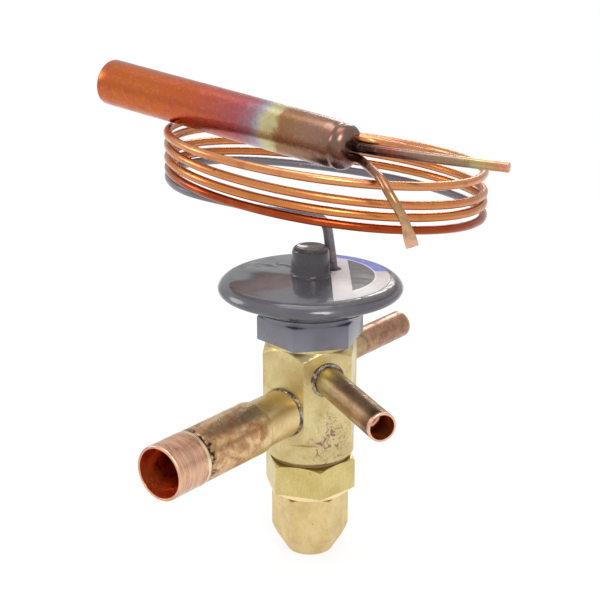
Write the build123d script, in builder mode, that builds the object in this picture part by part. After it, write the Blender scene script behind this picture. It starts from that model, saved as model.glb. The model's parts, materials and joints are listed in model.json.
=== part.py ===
"""Thermostatic expansion valve with a brazed body, dial-shaped element, coiled capillary and sensing bulb.

Frame: millimetres, +Z up along the spindle, origin in the middle of the seal cap's end face.
The outlet points to -X, the inlet to +X and the equaliser to 240 degrees, seen from above.
"""

import math
import os

from build123d import *

os.makedirs("parts", exist_ok=True)

# ---------------------------------------------------------------- driving dimensions
# Running clearance between a moving piece and its guide, and the gap left in a brazed joint.
RUN = 0.05
BRAZE = 0.03

# Seal cap (hexagon with a coned end), resting on z = 0.
CAP_AF = 18.3
CAP_TURN = 37.8
CAP_TOP = 18.2
CAP_END_R = 6.2
CAP_CONE_TOP = 7.4
CAP_BORE_FLOOR = 3.4

# Bottom cap: the spring housing that screws into the body from below.
NUT_AF = 22.2
NUT_TURN = 20.3
NUT_HEIGHT = 9.5
NUT_BOTTOM = CAP_TOP + 0.8
NUT_TOP = NUT_BOTTOM + NUT_HEIGHT
NECK_R = 7.2
NECK_END = CAP_TOP - 10.6
COLLAR_R = 10.4
SPIGOT_R = 9.35
CHAMBER_R = 6.9
CHAMBER_FLOOR = NUT_BOTTOM + 5.0
PACKING_R = 4.9
FOLLOWER_BOTTOM = NECK_END + 0.8
PACKING_BOTTOM = NECK_END + 5.0
PACKING_TOP = NECK_END + 8.0
KEY_WIDTH = 2.4
KEY_DEPTH = 0.9
GASKET_R = 10.8
GASKET_THICKNESS = 1.0

# Port sizes, directions from above, and reach from the valve axis to each mouth.
STUB_R = 6.5
STUB_BORE_R = 5.3
SMALL_TUBE_R = 3.85
SMALL_BORE_R = 2.5
OUTLET_ANGLE = 180.0
INLET_ANGLE = 0.0
EQUALISER_ANGLE = 240.0
OUTLET_REACH = 60.4
INLET_REACH = 42.7
EQUALISER_REACH = 45.8
OUTLET_SOCKET_R = 6.4
OUTLET_SOCKET_DEPTH = 12.0
OUTLET_TUBE_R = 7.2
SLEEVE_OVERLAP = 6.0
SMALL_SOCKET_R = 3.2
SMALL_SOCKET_DEPTH = 8.0
PORT_FLOOR = CHAMBER_R + 0.7

# Valve body, a hexagon bar turned round at both ends. Heights follow from what is inside it.
BODY_AF = 23.8
BODY_BOTTOM = NUT_TOP + GASKET_THICKNESS
ROUND_R = 11.95
SPIGOT_TOP = BODY_BOTTOM + 6.7
FLATS_BOTTOM = BODY_BOTTOM + 6.2
OUTLET_Z = SPIGOT_TOP + 1.5 + STUB_R
CEILING = OUTLET_Z + 5.0
SEAT_TOP = CEILING + 1.6
SMALL_PORT_Z = SEAT_TOP + 0.8 + SMALL_BORE_R
FLATS_TOP = SMALL_PORT_Z + SMALL_TUBE_R + 3.65
BODY_SHOULDER = FLATS_TOP + 1.1
BODY_TOP = BODY_SHOULDER + 5.9
THREAD_R = 9.5
SEAT_R = 3.4
INLET_CHAMBER_R = 2.7
INLET_CHAMBER_TOP = SMALL_PORT_Z + SMALL_BORE_R + 0.8
ROD_PACKING_DEPTH = 3.0
ROD_PACKING_R = 2.3
PASSAGE_OFFSET = 7.4

# Element: threaded hexagon collar, two pressed housings and the charging boss.
COLLAR_AF = 25.4
COLLAR_TURN = 50.25
COLLAR_HEX_TOP = BODY_SHOULDER + 6.7
COLLAR_NECK_R = 10.4
COLLAR_NECK_TOP = COLLAR_HEX_TOP + 1.6
RIM_R = 24.6
DIAPHRAGM_R = 23.5
DIAPHRAGM_Z = COLLAR_NECK_TOP + 5.6
DIAPHRAGM_THICKNESS = 0.25
RIM_BOTTOM = DIAPHRAGM_Z - 1.2
PLATEAU_Z = DIAPHRAGM_Z + 2.5
PLATEAU_R = 21.2
BOSS_R = 4.9
BOSS_TOP_R = 3.75
BOSS_TOP = PLATEAU_Z + 8.6
LABEL_ANGLE = -51.0
LABEL_CHORD = 5.3
CAPILLARY_FOOT = (6.5, -2.3)

# Superheat mechanism.
ROD_R = 1.2
ROD_OFFSET = 5.0
PIN_R = 1.5
CARRIER_TOP = CEILING - 3.2
CARRIER_BOTTOM = CARRIER_TOP - 3.0
PLATE_BOTTOM = COLLAR_NECK_TOP + 0.2
PLATE_FOOT_R = THREAD_R - 1.9
PLATE_R = DIAPHRAGM_R - 10.0
STEM_R = 3.0
SCREW_R = 2.5
GUIDE_BOTTOM = NUT_TOP
GUIDE_TOP = GUIDE_BOTTOM + 3.0
SPRING_R = 5.2
SPRING_WIRE_R = 0.65
SPRING_TURNS = 4.5
SPRING_RUNS = 14

# Capillary coil: five turns, leaning, wound clockwise upwards.
CAPILLARY_R = 1.15
COIL_Z = PLATEAU_Z + 16.9
COIL_CENTRE = (18.5, 8.8)
COIL_R = 42.8
COIL_LEAN = 6.7
COIL_LEAN_ANGLE = 148.0
COIL_START_ANGLE = 218.0
COIL_RUNS = 22
COIL_CORNER_R = 5.0

# Sensing bulb, lying across the coil.
BULB_R = 6.35
BULB_TIP = (-3.7, 67.7, COIL_Z + 28.2)
BULB_NECK = (0.0, -12.5, COIL_Z + 19.7)
CHARGE_TUBE_R = 1.3
PINCH_TUBE_R = 1.15


# ---------------------------------------------------------------- helpers
def hexagon(across_flats, turn):
    """Add a hexagon by its width across flats, with one flat facing the angle turn."""
    RegularPolygon(radius=across_flats / 2, side_count=6, major_radius=False, rotation=turn + 30)


def port_plane(angle, height):
    """Plane through the valve axis whose x runs out along a port and whose y is up."""
    a = math.radians(angle)
    return Plane(
        origin=(0, 0, height),
        x_dir=(math.cos(a), math.sin(a), 0),
        z_dir=(math.sin(a), -math.cos(a), 0),
    )


def port_axis(angle, height):
    """Axis of a port, pointing outwards."""
    a = math.radians(angle)
    return Axis((0, 0, height), (math.cos(a), math.sin(a), 0))


def turned(points, mode=Mode.ADD):
    """Revolve a closed outline of (radius, height) points about the valve axis."""
    with BuildSketch(Plane.XZ) as outline:
        with BuildLine():
            Polyline(*points, close=True)
        make_face()
    revolve(outline.sketch, axis=Axis.Z, mode=mode)


def turned_on_port(points, angle, height, mode=Mode.ADD):
    """Revolve a closed outline of (distance, radius) points about a port's axis."""
    with BuildSketch(port_plane(angle, height)) as outline:
        with BuildLine():
            Polyline(*points, close=True)
        make_face()
    revolve(outline.sketch, axis=port_axis(angle, height), mode=mode)


def socket_outline(start, bore_r, floor, socket_r):
    """Outline of a port cut from the side: a bore from start to floor, then a wider socket out past the flat."""
    end = BODY_AF / 2 + 2.0
    return [(start, 0), (start, bore_r), (floor, bore_r), (floor, socket_r), (end, socket_r), (end, 0)]


def save(part, name):
    """Label a finished piece and write it as its own STEP file."""
    part.label = name
    export_step(part, f"parts/{name}.step")


# ---------------------------------------------------------------- seal cap
cap_corner_r = CAP_AF / math.sqrt(3) + 0.1
with BuildPart() as seal_cap:
    with BuildSketch(Plane.XY):
        hexagon(CAP_AF, CAP_TURN)
    extrude(amount=CAP_TOP)
    turned(
        [
            (0, 0),
            (CAP_END_R, 0),
            (CAP_END_R + 2.2, CAP_CONE_TOP - 3.8),
            (cap_corner_r, CAP_CONE_TOP),
            (cap_corner_r, CAP_TOP - 0.7),
            (CAP_AF / 2, CAP_TOP),
            (0, CAP_TOP),
        ],
        mode=Mode.INTERSECT,
    )
    end_rim = seal_cap.edges().filter_by(GeomType.CIRCLE).sort_by(Axis.Z)[0]
    fillet(end_rim, 0.8)
    turned(
        [
            (0, CAP_BORE_FLOOR),
            (NECK_R - 2.6, CAP_BORE_FLOOR),
            (NECK_R - 2.6, NECK_END - 2.6),
            (NECK_R + RUN, NECK_END),
            (NECK_R + RUN, CAP_TOP),
            (0, CAP_TOP),
        ],
        mode=Mode.SUBTRACT,
    )
save(seal_cap.part, "seal_cap")

# ---------------------------------------------------------------- bottom cap and its packing
nut_corner_r = NUT_AF / math.sqrt(3) + 0.1
with BuildPart() as bottom_cap:
    with BuildSketch(Plane.XY.offset(NUT_BOTTOM)):
        hexagon(NUT_AF, NUT_TURN)
    extrude(amount=NUT_TOP - NUT_BOTTOM)
    turned(
        [
            (0, NUT_BOTTOM),
            (NUT_AF / 2, NUT_BOTTOM),
            (nut_corner_r, NUT_BOTTOM + 1.0),
            (nut_corner_r, NUT_TOP - 1.0),
            (NUT_AF / 2, NUT_TOP),
            (0, NUT_TOP),
        ],
        mode=Mode.INTERSECT,
    )
    turned(
        [
            (0, NECK_END),
            (NECK_R - 1.2, NECK_END),
            (NECK_R, NECK_END + 1.2),
            (NECK_R, CAP_TOP + 0.1),
            (COLLAR_R, CAP_TOP + 0.1),
            (COLLAR_R, NUT_BOTTOM + 0.2),
            (0, NUT_BOTTOM + 0.2),
        ]
    )
    turned([(0, NUT_TOP - 0.2), (SPIGOT_R, NUT_TOP - 0.2), (SPIGOT_R, SPIGOT_TOP), (0, SPIGOT_TOP)])
    turned(
        [
            (0, NECK_END),
            (PACKING_R, NECK_END),
            (PACKING_R, PACKING_TOP),
            (STEM_R + RUN, PACKING_TOP),
            (STEM_R + RUN, CHAMBER_FLOOR),
            (CHAMBER_R, CHAMBER_FLOOR),
            (CHAMBER_R, SPIGOT_TOP),
            (0, SPIGOT_TOP),
        ],
        mode=Mode.SUBTRACT,
    )
    with BuildSketch(Plane.XY.offset(CHAMBER_FLOOR)):
        with Locations((CHAMBER_R, 0)):
            Rectangle(2 * KEY_DEPTH, KEY_WIDTH)
    extrude(amount=SPIGOT_TOP - CHAMBER_FLOOR, mode=Mode.SUBTRACT)
save(bottom_cap.part, "bottom_cap")

with BuildPart() as stem_packing:
    turned(
        [
            (STEM_R + RUN, PACKING_BOTTOM),
            (PACKING_R, PACKING_BOTTOM),
            (PACKING_R, PACKING_TOP),
            (STEM_R + RUN, PACKING_TOP),
        ]
    )
save(stem_packing.part, "stem_packing")

with BuildPart() as packing_follower:
    turned(
        [
            (STEM_R + RUN, FOLLOWER_BOTTOM),
            (PACKING_R, FOLLOWER_BOTTOM),
            (PACKING_R, PACKING_BOTTOM),
            (STEM_R + RUN, PACKING_BOTTOM),
        ]
    )
    with BuildSketch(Plane.XY.offset(FOLLOWER_BOTTOM)):
        Rectangle(2 * PACKING_R + 1, 1.4)
    extrude(amount=1.2, mode=Mode.SUBTRACT)
save(packing_follower.part, "packing_follower")

with BuildPart() as cap_gasket:
    turned([(SPIGOT_R, NUT_TOP), (GASKET_R, NUT_TOP), (GASKET_R, BODY_BOTTOM), (SPIGOT_R, BODY_BOTTOM)])
save(cap_gasket.part, "cap_gasket")

# ---------------------------------------------------------------- valve body
body_corner_r = BODY_AF / math.sqrt(3) + 0.1
equaliser_a = math.radians(EQUALISER_ANGLE)
with BuildPart() as valve_body:
    with BuildSketch(Plane.XY.offset(BODY_BOTTOM)):
        hexagon(BODY_AF, INLET_ANGLE)
    extrude(amount=BODY_SHOULDER - BODY_BOTTOM)
    turned(
        [
            (0, BODY_BOTTOM),
            (ROUND_R - 0.6, BODY_BOTTOM),
            (ROUND_R, BODY_BOTTOM + 0.6),
            (ROUND_R, FLATS_BOTTOM - 0.5),
            (body_corner_r, FLATS_BOTTOM + 1.1),
            (body_corner_r, FLATS_TOP - 2.2),
            (BODY_AF / 2 - 0.15, FLATS_TOP),
            (BODY_AF / 2 - 0.15, BODY_SHOULDER),
            (0, BODY_SHOULDER),
        ],
        mode=Mode.INTERSECT,
    )
    turned(
        [
            (0, BODY_BOTTOM),
            (ROUND_R - 0.6, BODY_BOTTOM),
            (ROUND_R, BODY_BOTTOM + 0.6),
            (ROUND_R, FLATS_BOTTOM - 0.5),
            (ROUND_R - 0.8, FLATS_BOTTOM),
            (0, FLATS_BOTTOM),
        ]
    )
    turned([(0, BODY_SHOULDER - 0.5), (THREAD_R, BODY_SHOULDER - 0.5), (THREAD_R, BODY_TOP), (0, BODY_TOP)])
    # Threaded bore for the bottom cap, spring chamber, seat bore and inlet chamber.
    turned(
        [
            (0, BODY_BOTTOM),
            (SPIGOT_R + BRAZE, BODY_BOTTOM),
            (SPIGOT_R + BRAZE, SPIGOT_TOP + 0.6),
            (CHAMBER_R, SPIGOT_TOP + 0.6),
            (CHAMBER_R, CEILING),
            (SEAT_R, CEILING),
            (SEAT_R, SEAT_TOP),
            (INLET_CHAMBER_R, SEAT_TOP),
            (INLET_CHAMBER_R, INLET_CHAMBER_TOP),
            (0, INLET_CHAMBER_TOP + 1.2),
        ],
        mode=Mode.SUBTRACT,
    )
    # Port bores: a passage inwards and a socket for each tube.
    turned_on_port(
        socket_outline(0, STUB_BORE_R, PORT_FLOOR, STUB_R + BRAZE),
        OUTLET_ANGLE,
        OUTLET_Z,
        mode=Mode.SUBTRACT,
    )
    turned_on_port(
        socket_outline(0, SMALL_BORE_R, PORT_FLOOR, SMALL_TUBE_R + BRAZE),
        INLET_ANGLE,
        SMALL_PORT_Z,
        mode=Mode.SUBTRACT,
    )
    turned_on_port(
        socket_outline(PASSAGE_OFFSET - 1.2, 1.6, PORT_FLOOR + 1.0, SMALL_TUBE_R + BRAZE),
        EQUALISER_ANGLE,
        SMALL_PORT_Z,
        mode=Mode.SUBTRACT,
    )
    # Equaliser passage up to the underside of the diaphragm, and the two rod guides.
    with BuildSketch(Plane.XY.offset(SMALL_PORT_Z)):
        with Locations((PASSAGE_OFFSET * math.cos(equaliser_a), PASSAGE_OFFSET * math.sin(equaliser_a))):
            Circle(1.0)
    extrude(amount=BODY_TOP - SMALL_PORT_Z, mode=Mode.SUBTRACT)
    with BuildSketch(Plane.XY.offset(CEILING)):
        with Locations((0, ROD_OFFSET), (0, -ROD_OFFSET)):
            Circle(ROD_R + RUN)
    extrude(amount=BODY_TOP - CEILING, mode=Mode.SUBTRACT)
    with BuildSketch(Plane.XY.offset(BODY_TOP - ROD_PACKING_DEPTH)):
        with Locations((0, ROD_OFFSET), (0, -ROD_OFFSET)):
            Circle(ROD_PACKING_R)
    extrude(amount=ROD_PACKING_DEPTH, mode=Mode.SUBTRACT)
save(valve_body.part, "valve_body")

with BuildPart() as rod_packing:
    with BuildSketch(Plane.XY.offset(BODY_TOP - ROD_PACKING_DEPTH)):
        with Locations((0, ROD_OFFSET), (0, -ROD_OFFSET)):
            Circle(ROD_PACKING_R)
            Circle(ROD_R + RUN, mode=Mode.SUBTRACT)
    extrude(amount=ROD_PACKING_DEPTH)
save(rod_packing.part, "rod_packing")

with BuildPart() as port_seat:
    turned(
        [
            (1.25, CEILING - 0.6),
            (SEAT_R, CEILING - 0.6),
            (SEAT_R, SEAT_TOP),
            (1.9, SEAT_TOP),
            (1.0, SEAT_TOP - 0.9),
            (1.0, CEILING - 0.3),
        ]
    )
save(port_seat.part, "port_seat")

# ---------------------------------------------------------------- tubes
SOCKET_STEP = OUTLET_REACH - OUTLET_SOCKET_DEPTH
SLEEVE_START = SOCKET_STEP - 23.8
STUB_END = SLEEVE_START + SLEEVE_OVERLAP
with BuildPart() as outlet_stub:
    turned_on_port(
        [
            (PORT_FLOOR, STUB_BORE_R),
            (PORT_FLOOR, STUB_R),
            (STUB_END - 0.6, STUB_R),
            (STUB_END, STUB_R - 0.4),
            (STUB_END, STUB_BORE_R),
        ],
        OUTLET_ANGLE,
        OUTLET_Z,
    )
save(outlet_stub.part, "outlet_stub")

with BuildPart() as outlet_tube:
    turned_on_port(
        [
            (SLEEVE_START, STUB_R),
            (SLEEVE_START, OUTLET_TUBE_R - 0.2),
            (SLEEVE_START + 1.0, OUTLET_TUBE_R),
            (SOCKET_STEP - 1.0, OUTLET_TUBE_R - 0.1),
            (SOCKET_STEP - 0.4, OUTLET_TUBE_R - 0.35),
            (SOCKET_STEP + 0.1, OUTLET_TUBE_R - 0.35),
            (SOCKET_STEP + 0.6, OUTLET_TUBE_R),
            (OUTLET_REACH - 0.3, OUTLET_TUBE_R),
            (OUTLET_REACH, OUTLET_TUBE_R - 0.25),
            (OUTLET_REACH, OUTLET_SOCKET_R + 0.1),
            (OUTLET_REACH - 0.2, OUTLET_SOCKET_R),
            (SOCKET_STEP, OUTLET_SOCKET_R),
            (SOCKET_STEP - 0.3, OUTLET_SOCKET_R - 0.6),
            (STUB_END + 0.8, OUTLET_SOCKET_R - 0.6),
            (STUB_END + 0.2, STUB_R),
        ],
        OUTLET_ANGLE,
        OUTLET_Z,
    )
save(outlet_tube.part, "outlet_tube")


def small_tube(start, reach, angle):
    """Copper extension tube with a soldering socket, from the body to its mouth."""
    step = reach - SMALL_SOCKET_DEPTH
    turned_on_port(
        [
            (start, SMALL_BORE_R),
            (start, SMALL_TUBE_R),
            (reach - 0.2, SMALL_TUBE_R),
            (reach, SMALL_TUBE_R - 0.2),
            (reach, SMALL_SOCKET_R),
            (step, SMALL_SOCKET_R),
            (step - 0.4, SMALL_BORE_R),
        ],
        angle,
        SMALL_PORT_Z,
    )


with BuildPart() as inlet_tube:
    small_tube(PORT_FLOOR, INLET_REACH, INLET_ANGLE)
save(inlet_tube.part, "inlet_tube")

with BuildPart() as equaliser_tube:
    small_tube(PORT_FLOOR + 1.0, EQUALISER_REACH, EQUALISER_ANGLE)
save(equaliser_tube.part, "equaliser_tube")

# Fillets of brazing alloy round each tube, seated on the body's flat.
FACE = BODY_AF / 2
for ring_name, tube_r, spread, angle, height in (
    ("outlet_braze_ring", STUB_R, 0.36, OUTLET_ANGLE, OUTLET_Z),
    ("inlet_braze_ring", SMALL_TUBE_R, 0.9, INLET_ANGLE, SMALL_PORT_Z),
    ("equaliser_braze_ring", SMALL_TUBE_R, 0.9, EQUALISER_ANGLE, SMALL_PORT_Z),
):
    with BuildPart() as braze_ring:
        turned_on_port(
            [
                (FACE, tube_r),
                (FACE, tube_r + spread),
                (FACE + 0.35, tube_r + spread - 0.15),
                (FACE + 0.7, tube_r + 0.25),
                (FACE + 1.0, tube_r),
            ],
            angle,
            height,
        )
    save(braze_ring.part, ring_name)

STRAINER_END = PORT_FLOOR + 15.0
with BuildPart() as inlet_strainer:
    turned_on_port(
        [
            (PORT_FLOOR + 0.4, SMALL_BORE_R - 0.4),
            (PORT_FLOOR + 0.4, SMALL_BORE_R),
            (PORT_FLOOR + 1.4, SMALL_BORE_R),
            (PORT_FLOOR + 1.4, SMALL_BORE_R - 0.3),
            (STRAINER_END - 0.6, 1.2),
            (STRAINER_END, 0),
            (STRAINER_END - 0.4, 0),
            (STRAINER_END - 1.0, 0.9),
            (PORT_FLOOR + 1.2, SMALL_BORE_R - 0.6),
        ],
        INLET_ANGLE,
        SMALL_PORT_Z,
    )
save(inlet_strainer.part, "inlet_strainer")

# ---------------------------------------------------------------- power element
collar_corner_r = COLLAR_AF / math.sqrt(3) + 0.1
with BuildPart() as hex_collar:
    with BuildSketch(Plane.XY.offset(BODY_SHOULDER)):
        hexagon(COLLAR_AF, COLLAR_TURN)
    extrude(amount=COLLAR_HEX_TOP - BODY_SHOULDER)
    turned(
        [
            (0, BODY_SHOULDER),
            (collar_corner_r - 0.4, BODY_SHOULDER),
            (collar_corner_r, BODY_SHOULDER + 0.4),
            (collar_corner_r, COLLAR_HEX_TOP - 1.3),
            (COLLAR_AF / 2, COLLAR_HEX_TOP),
            (0, COLLAR_HEX_TOP),
        ],
        mode=Mode.INTERSECT,
    )
    turned(
        [
            (0, COLLAR_HEX_TOP - 1.4),
            (COLLAR_NECK_R, COLLAR_HEX_TOP - 1.4),
            (COLLAR_NECK_R, COLLAR_NECK_TOP),
            (0, COLLAR_NECK_TOP),
        ]
    )
    turned(
        [
            (0, BODY_SHOULDER),
            (THREAD_R + BRAZE, BODY_SHOULDER),
            (THREAD_R + BRAZE, BODY_TOP),
            (THREAD_R - 0.7, BODY_TOP),
            (THREAD_R - 0.7, COLLAR_NECK_TOP),
            (0, COLLAR_NECK_TOP),
        ],
        mode=Mode.SUBTRACT,
    )
save(hex_collar.part, "hex_collar")

with BuildPart() as lower_housing:
    turned(
        [
            (COLLAR_NECK_R, COLLAR_HEX_TOP),
            (COLLAR_NECK_R + 2.1, COLLAR_HEX_TOP + 0.1),
            (DIAPHRAGM_R - 5.0, RIM_BOTTOM - 2.2),
            (DIAPHRAGM_R - 1.2, RIM_BOTTOM - 0.2),
            (DIAPHRAGM_R, RIM_BOTTOM),
            (DIAPHRAGM_R, DIAPHRAGM_Z),
            (DIAPHRAGM_R - 3.1, DIAPHRAGM_Z),
            (DIAPHRAGM_R - 5.3, DIAPHRAGM_Z - 1.8),
            (COLLAR_NECK_R + 1.8, COLLAR_NECK_TOP),
            (COLLAR_NECK_R, COLLAR_NECK_TOP),
        ]
    )
save(lower_housing.part, "lower_housing")

# The diaphragm's waves are worked out ring by ring.
wave_r = [DIAPHRAGM_R - 8.5 + 0.9 * i for i in range(6)]
wave_z = [DIAPHRAGM_Z + (0.35 if i % 2 else 0.0) for i in range(6)]
under = list(zip(wave_r, wave_z))
over = [(r, z + DIAPHRAGM_THICKNESS) for r, z in reversed(under)]
with BuildPart() as diaphragm:
    turned(
        [(0, DIAPHRAGM_Z)]
        + under
        + [(DIAPHRAGM_R - 3.1, DIAPHRAGM_Z), (DIAPHRAGM_R, DIAPHRAGM_Z)]
        + [(DIAPHRAGM_R, DIAPHRAGM_Z + DIAPHRAGM_THICKNESS), (DIAPHRAGM_R - 3.1, DIAPHRAGM_Z + DIAPHRAGM_THICKNESS)]
        + over
        + [(0, DIAPHRAGM_Z + DIAPHRAGM_THICKNESS)]
    )
save(diaphragm.part, "diaphragm")

clamp_z = DIAPHRAGM_Z + DIAPHRAGM_THICKNESS
ROOF_Z = PLATEAU_Z - 1.2
with BuildPart() as upper_housing:
    with BuildSketch(Plane.XZ):
        with BuildLine():
            Polyline((0, ROOF_Z), (0, PLATEAU_Z), (PLATEAU_R, PLATEAU_Z))
            ThreePointArc((PLATEAU_R, PLATEAU_Z), (RIM_R - 1.4, PLATEAU_Z - 0.57), (RIM_R, PLATEAU_Z - 2.1))
            ThreePointArc((RIM_R, PLATEAU_Z - 2.1), (RIM_R - 0.1, RIM_BOTTOM + 0.5), (DIAPHRAGM_R + 0.4, RIM_BOTTOM))
            Polyline(
                (DIAPHRAGM_R + 0.4, RIM_BOTTOM),
                (DIAPHRAGM_R, RIM_BOTTOM),
                (DIAPHRAGM_R, clamp_z),
                (DIAPHRAGM_R - 2.9, clamp_z),
                (DIAPHRAGM_R - 3.5, ROOF_Z),
                (0, ROOF_Z),
            )
        make_face()
    revolve(axis=Axis.Z)
    with BuildSketch(Plane.XY.offset(ROOF_Z - 0.2)):
        with Locations(CAPILLARY_FOOT):
            Circle(CAPILLARY_R + 0.02)
    extrude(amount=2.0, mode=Mode.SUBTRACT)
save(upper_housing.part, "upper_housing")

with BuildPart() as charging_boss:
    with BuildSketch(Plane.XZ):
        with BuildLine():
            Line((0, PLATEAU_Z), (BOSS_R + 0.3, PLATEAU_Z))
            ThreePointArc((BOSS_R + 0.3, PLATEAU_Z), (BOSS_R + 0.05, PLATEAU_Z + 0.25), (BOSS_R - 0.05, PLATEAU_Z + 0.7))
            Line((BOSS_R - 0.05, PLATEAU_Z + 0.7), (BOSS_TOP_R, BOSS_TOP - 0.5))
            ThreePointArc((BOSS_TOP_R, BOSS_TOP - 0.5), (BOSS_TOP_R - 0.17, BOSS_TOP - 0.1), (BOSS_TOP_R - 0.6, BOSS_TOP))
            Polyline((BOSS_TOP_R - 0.6, BOSS_TOP), (BOSS_TOP_R - 0.9, BOSS_TOP - 0.35), (0, BOSS_TOP - 0.35), (0, PLATEAU_Z))
        make_face()
    revolve(axis=Axis.Z)
save(charging_boss.part, "charging_boss")

label_a = math.radians(LABEL_ANGLE)
label_out = (math.cos(label_a), math.sin(label_a))
label_cut = []
for away, across in ((LABEL_CHORD, -40), (LABEL_CHORD, 40), (-40, 40), (-40, -40)):
    label_cut.append((away * label_out[0] - across * label_out[1], away * label_out[1] + across * label_out[0]))
with BuildPart() as label_plate:
    with BuildSketch(Plane.XY.offset(PLATEAU_Z)):
        Circle(PLATEAU_R - 0.1)
        with BuildLine():
            Polyline(*label_cut, close=True)
        make_face(mode=Mode.SUBTRACT)
        with Locations(CAPILLARY_FOOT):
            Circle(2.5, mode=Mode.SUBTRACT)
    extrude(amount=0.15)
save(label_plate.part, "label_plate")

# ---------------------------------------------------------------- superheat mechanism
with BuildPart() as pin_carrier:
    turned(
        [
            (0, CARRIER_BOTTOM - 1.6),
            (SPRING_R - 1.0, CARRIER_BOTTOM - 1.6),
            (SPRING_R - 1.0, CARRIER_BOTTOM),
            (CHAMBER_R - 0.3, CARRIER_BOTTOM),
            (CHAMBER_R - 0.3, CARRIER_TOP),
            (0, CARRIER_TOP),
        ]
    )
    with BuildSketch(Plane.XY.offset(CARRIER_TOP - 2.0)):
        Circle(PIN_R)
    extrude(amount=2.0, mode=Mode.SUBTRACT)
save(pin_carrier.part, "pin_carrier")

with BuildPart() as valve_pin:
    turned(
        [
            (0, CARRIER_TOP - 2.0),
            (PIN_R, CARRIER_TOP - 2.0),
            (PIN_R, CEILING - 1.2),
            (0.25, CEILING + 0.9),
            (0, CEILING + 0.9),
        ]
    )
save(valve_pin.part, "valve_pin")

with BuildPart() as push_rods:
    with BuildSketch(Plane.XY.offset(CARRIER_TOP)):
        with Locations((0, ROD_OFFSET), (0, -ROD_OFFSET)):
            Circle(ROD_R)
    extrude(amount=PLATE_BOTTOM - CARRIER_TOP)
save(push_rods.part, "push_rods")

with BuildPart() as buffer_plate:
    turned(
        [
            (0, PLATE_BOTTOM),
            (PLATE_FOOT_R, PLATE_BOTTOM),
            (PLATE_FOOT_R, PLATE_BOTTOM + 1.4),
            (PLATE_R, DIAPHRAGM_Z - 1.2),
            (PLATE_R, DIAPHRAGM_Z),
            (0, DIAPHRAGM_Z),
        ]
    )
save(buffer_plate.part, "buffer_plate")

with BuildPart() as adjusting_stem:
    with BuildSketch(Plane.XY.offset(NECK_END - 2.8)):
        Rectangle(1.4 * STEM_R, 1.4 * STEM_R)
    extrude(amount=5.2)
    turned(
        [
            (0, NECK_END + 2.4),
            (STEM_R, NECK_END + 2.4),
            (STEM_R, CHAMBER_FLOOR + RUN),
            (STEM_R + 1.6, CHAMBER_FLOOR + RUN),
            (STEM_R + 1.6, CHAMBER_FLOOR + 1.4),
            (SCREW_R, CHAMBER_FLOOR + 1.4),
            (SCREW_R, GUIDE_TOP + 4.5),
            (SCREW_R - 0.5, GUIDE_TOP + 5.0),
            (0, GUIDE_TOP + 5.0),
        ]
    )
save(adjusting_stem.part, "adjusting_stem")

with BuildPart() as spring_guide:
    turned(
        [
            (SCREW_R + RUN, GUIDE_BOTTOM),
            (CHAMBER_R - RUN, GUIDE_BOTTOM),
            (CHAMBER_R - RUN, GUIDE_TOP),
            (SPRING_R - 0.9, GUIDE_TOP),
            (SPRING_R - 0.9, GUIDE_TOP + 1.4),
            (SCREW_R + RUN, GUIDE_TOP + 1.4),
        ]
    )
    with BuildSketch(Plane.XY.offset(GUIDE_BOTTOM)):
        with Locations((CHAMBER_R - 0.6, 0)):
            Rectangle(1.2 + 2 * (KEY_DEPTH - RUN), KEY_WIDTH - 2 * RUN)
    extrude(amount=GUIDE_TOP - GUIDE_BOTTOM)
    with BuildSketch(Plane.XY.offset(GUIDE_BOTTOM)):
        Circle(SCREW_R + RUN)
    extrude(amount=GUIDE_TOP - GUIDE_BOTTOM, mode=Mode.SUBTRACT)
save(spring_guide.part, "spring_guide")

# Spring: straight runs round the helix, with flat end turns against the guide and the carrier.
spring_low = GUIDE_TOP + SPRING_WIRE_R
spring_high = CARRIER_BOTTOM - SPRING_WIRE_R
spring_points = []
spring_steps = int(SPRING_TURNS * SPRING_RUNS)
for i in range(spring_steps + 1):
    turn_now = i / SPRING_RUNS
    a = 2 * math.pi * turn_now
    rise = min(max((turn_now - 0.75) / (SPRING_TURNS - 1.5), 0.0), 1.0)
    z = spring_low + rise * (spring_high - spring_low)
    spring_points.append((SPRING_R * math.cos(a), SPRING_R * math.sin(a), z))
with BuildPart() as superheat_spring:
    with BuildLine() as spring_path:
        Polyline(*spring_points)
    with BuildSketch(Plane(spring_path.line @ 0, z_dir=spring_path.line % 0)):
        Circle(SPRING_WIRE_R)
    sweep(transition=Transition.RIGHT)
save(superheat_spring.part, "superheat_spring")

# ---------------------------------------------------------------- tube paths
# Height of the coil's middle line above COIL_Z, by turns counted from the side that faces the outlet.
COIL_HEIGHTS = (
    (0.0, 0.5),
    (0.5, 0.0),
    (0.75, 2.0),
    (1.0, 2.0),
    (1.25, 2.7),
    (1.5, 3.0),
    (1.75, 5.8),
    (2.0, 5.0),
    (2.25, 5.6),
    (2.5, 6.2),
    (2.75, 8.5),
    (3.0, 8.3),
    (3.25, 9.0),
    (3.5, 10.8),
    (3.75, 14.0),
    (4.0, 12.9),
    (4.25, 12.1),
    (4.5, 13.8),
)


def coil_point(turn):
    """Point on the coil at a number of turns."""
    for (t0, z0), (t1, z1) in zip(COIL_HEIGHTS, COIL_HEIGHTS[1:]):
        if t0 <= turn <= t1:
            height = z0 + (z1 - z0) * (turn - t0) / (t1 - t0)
    a = math.radians(COIL_START_ANGLE - 360 * turn)
    lean = COIL_LEAN * math.cos(a - math.radians(COIL_LEAN_ANGLE))
    return (COIL_CENTRE[0] + COIL_R * math.cos(a), COIL_CENTRE[1] + COIL_R * math.sin(a), COIL_Z + height + lean)


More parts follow.
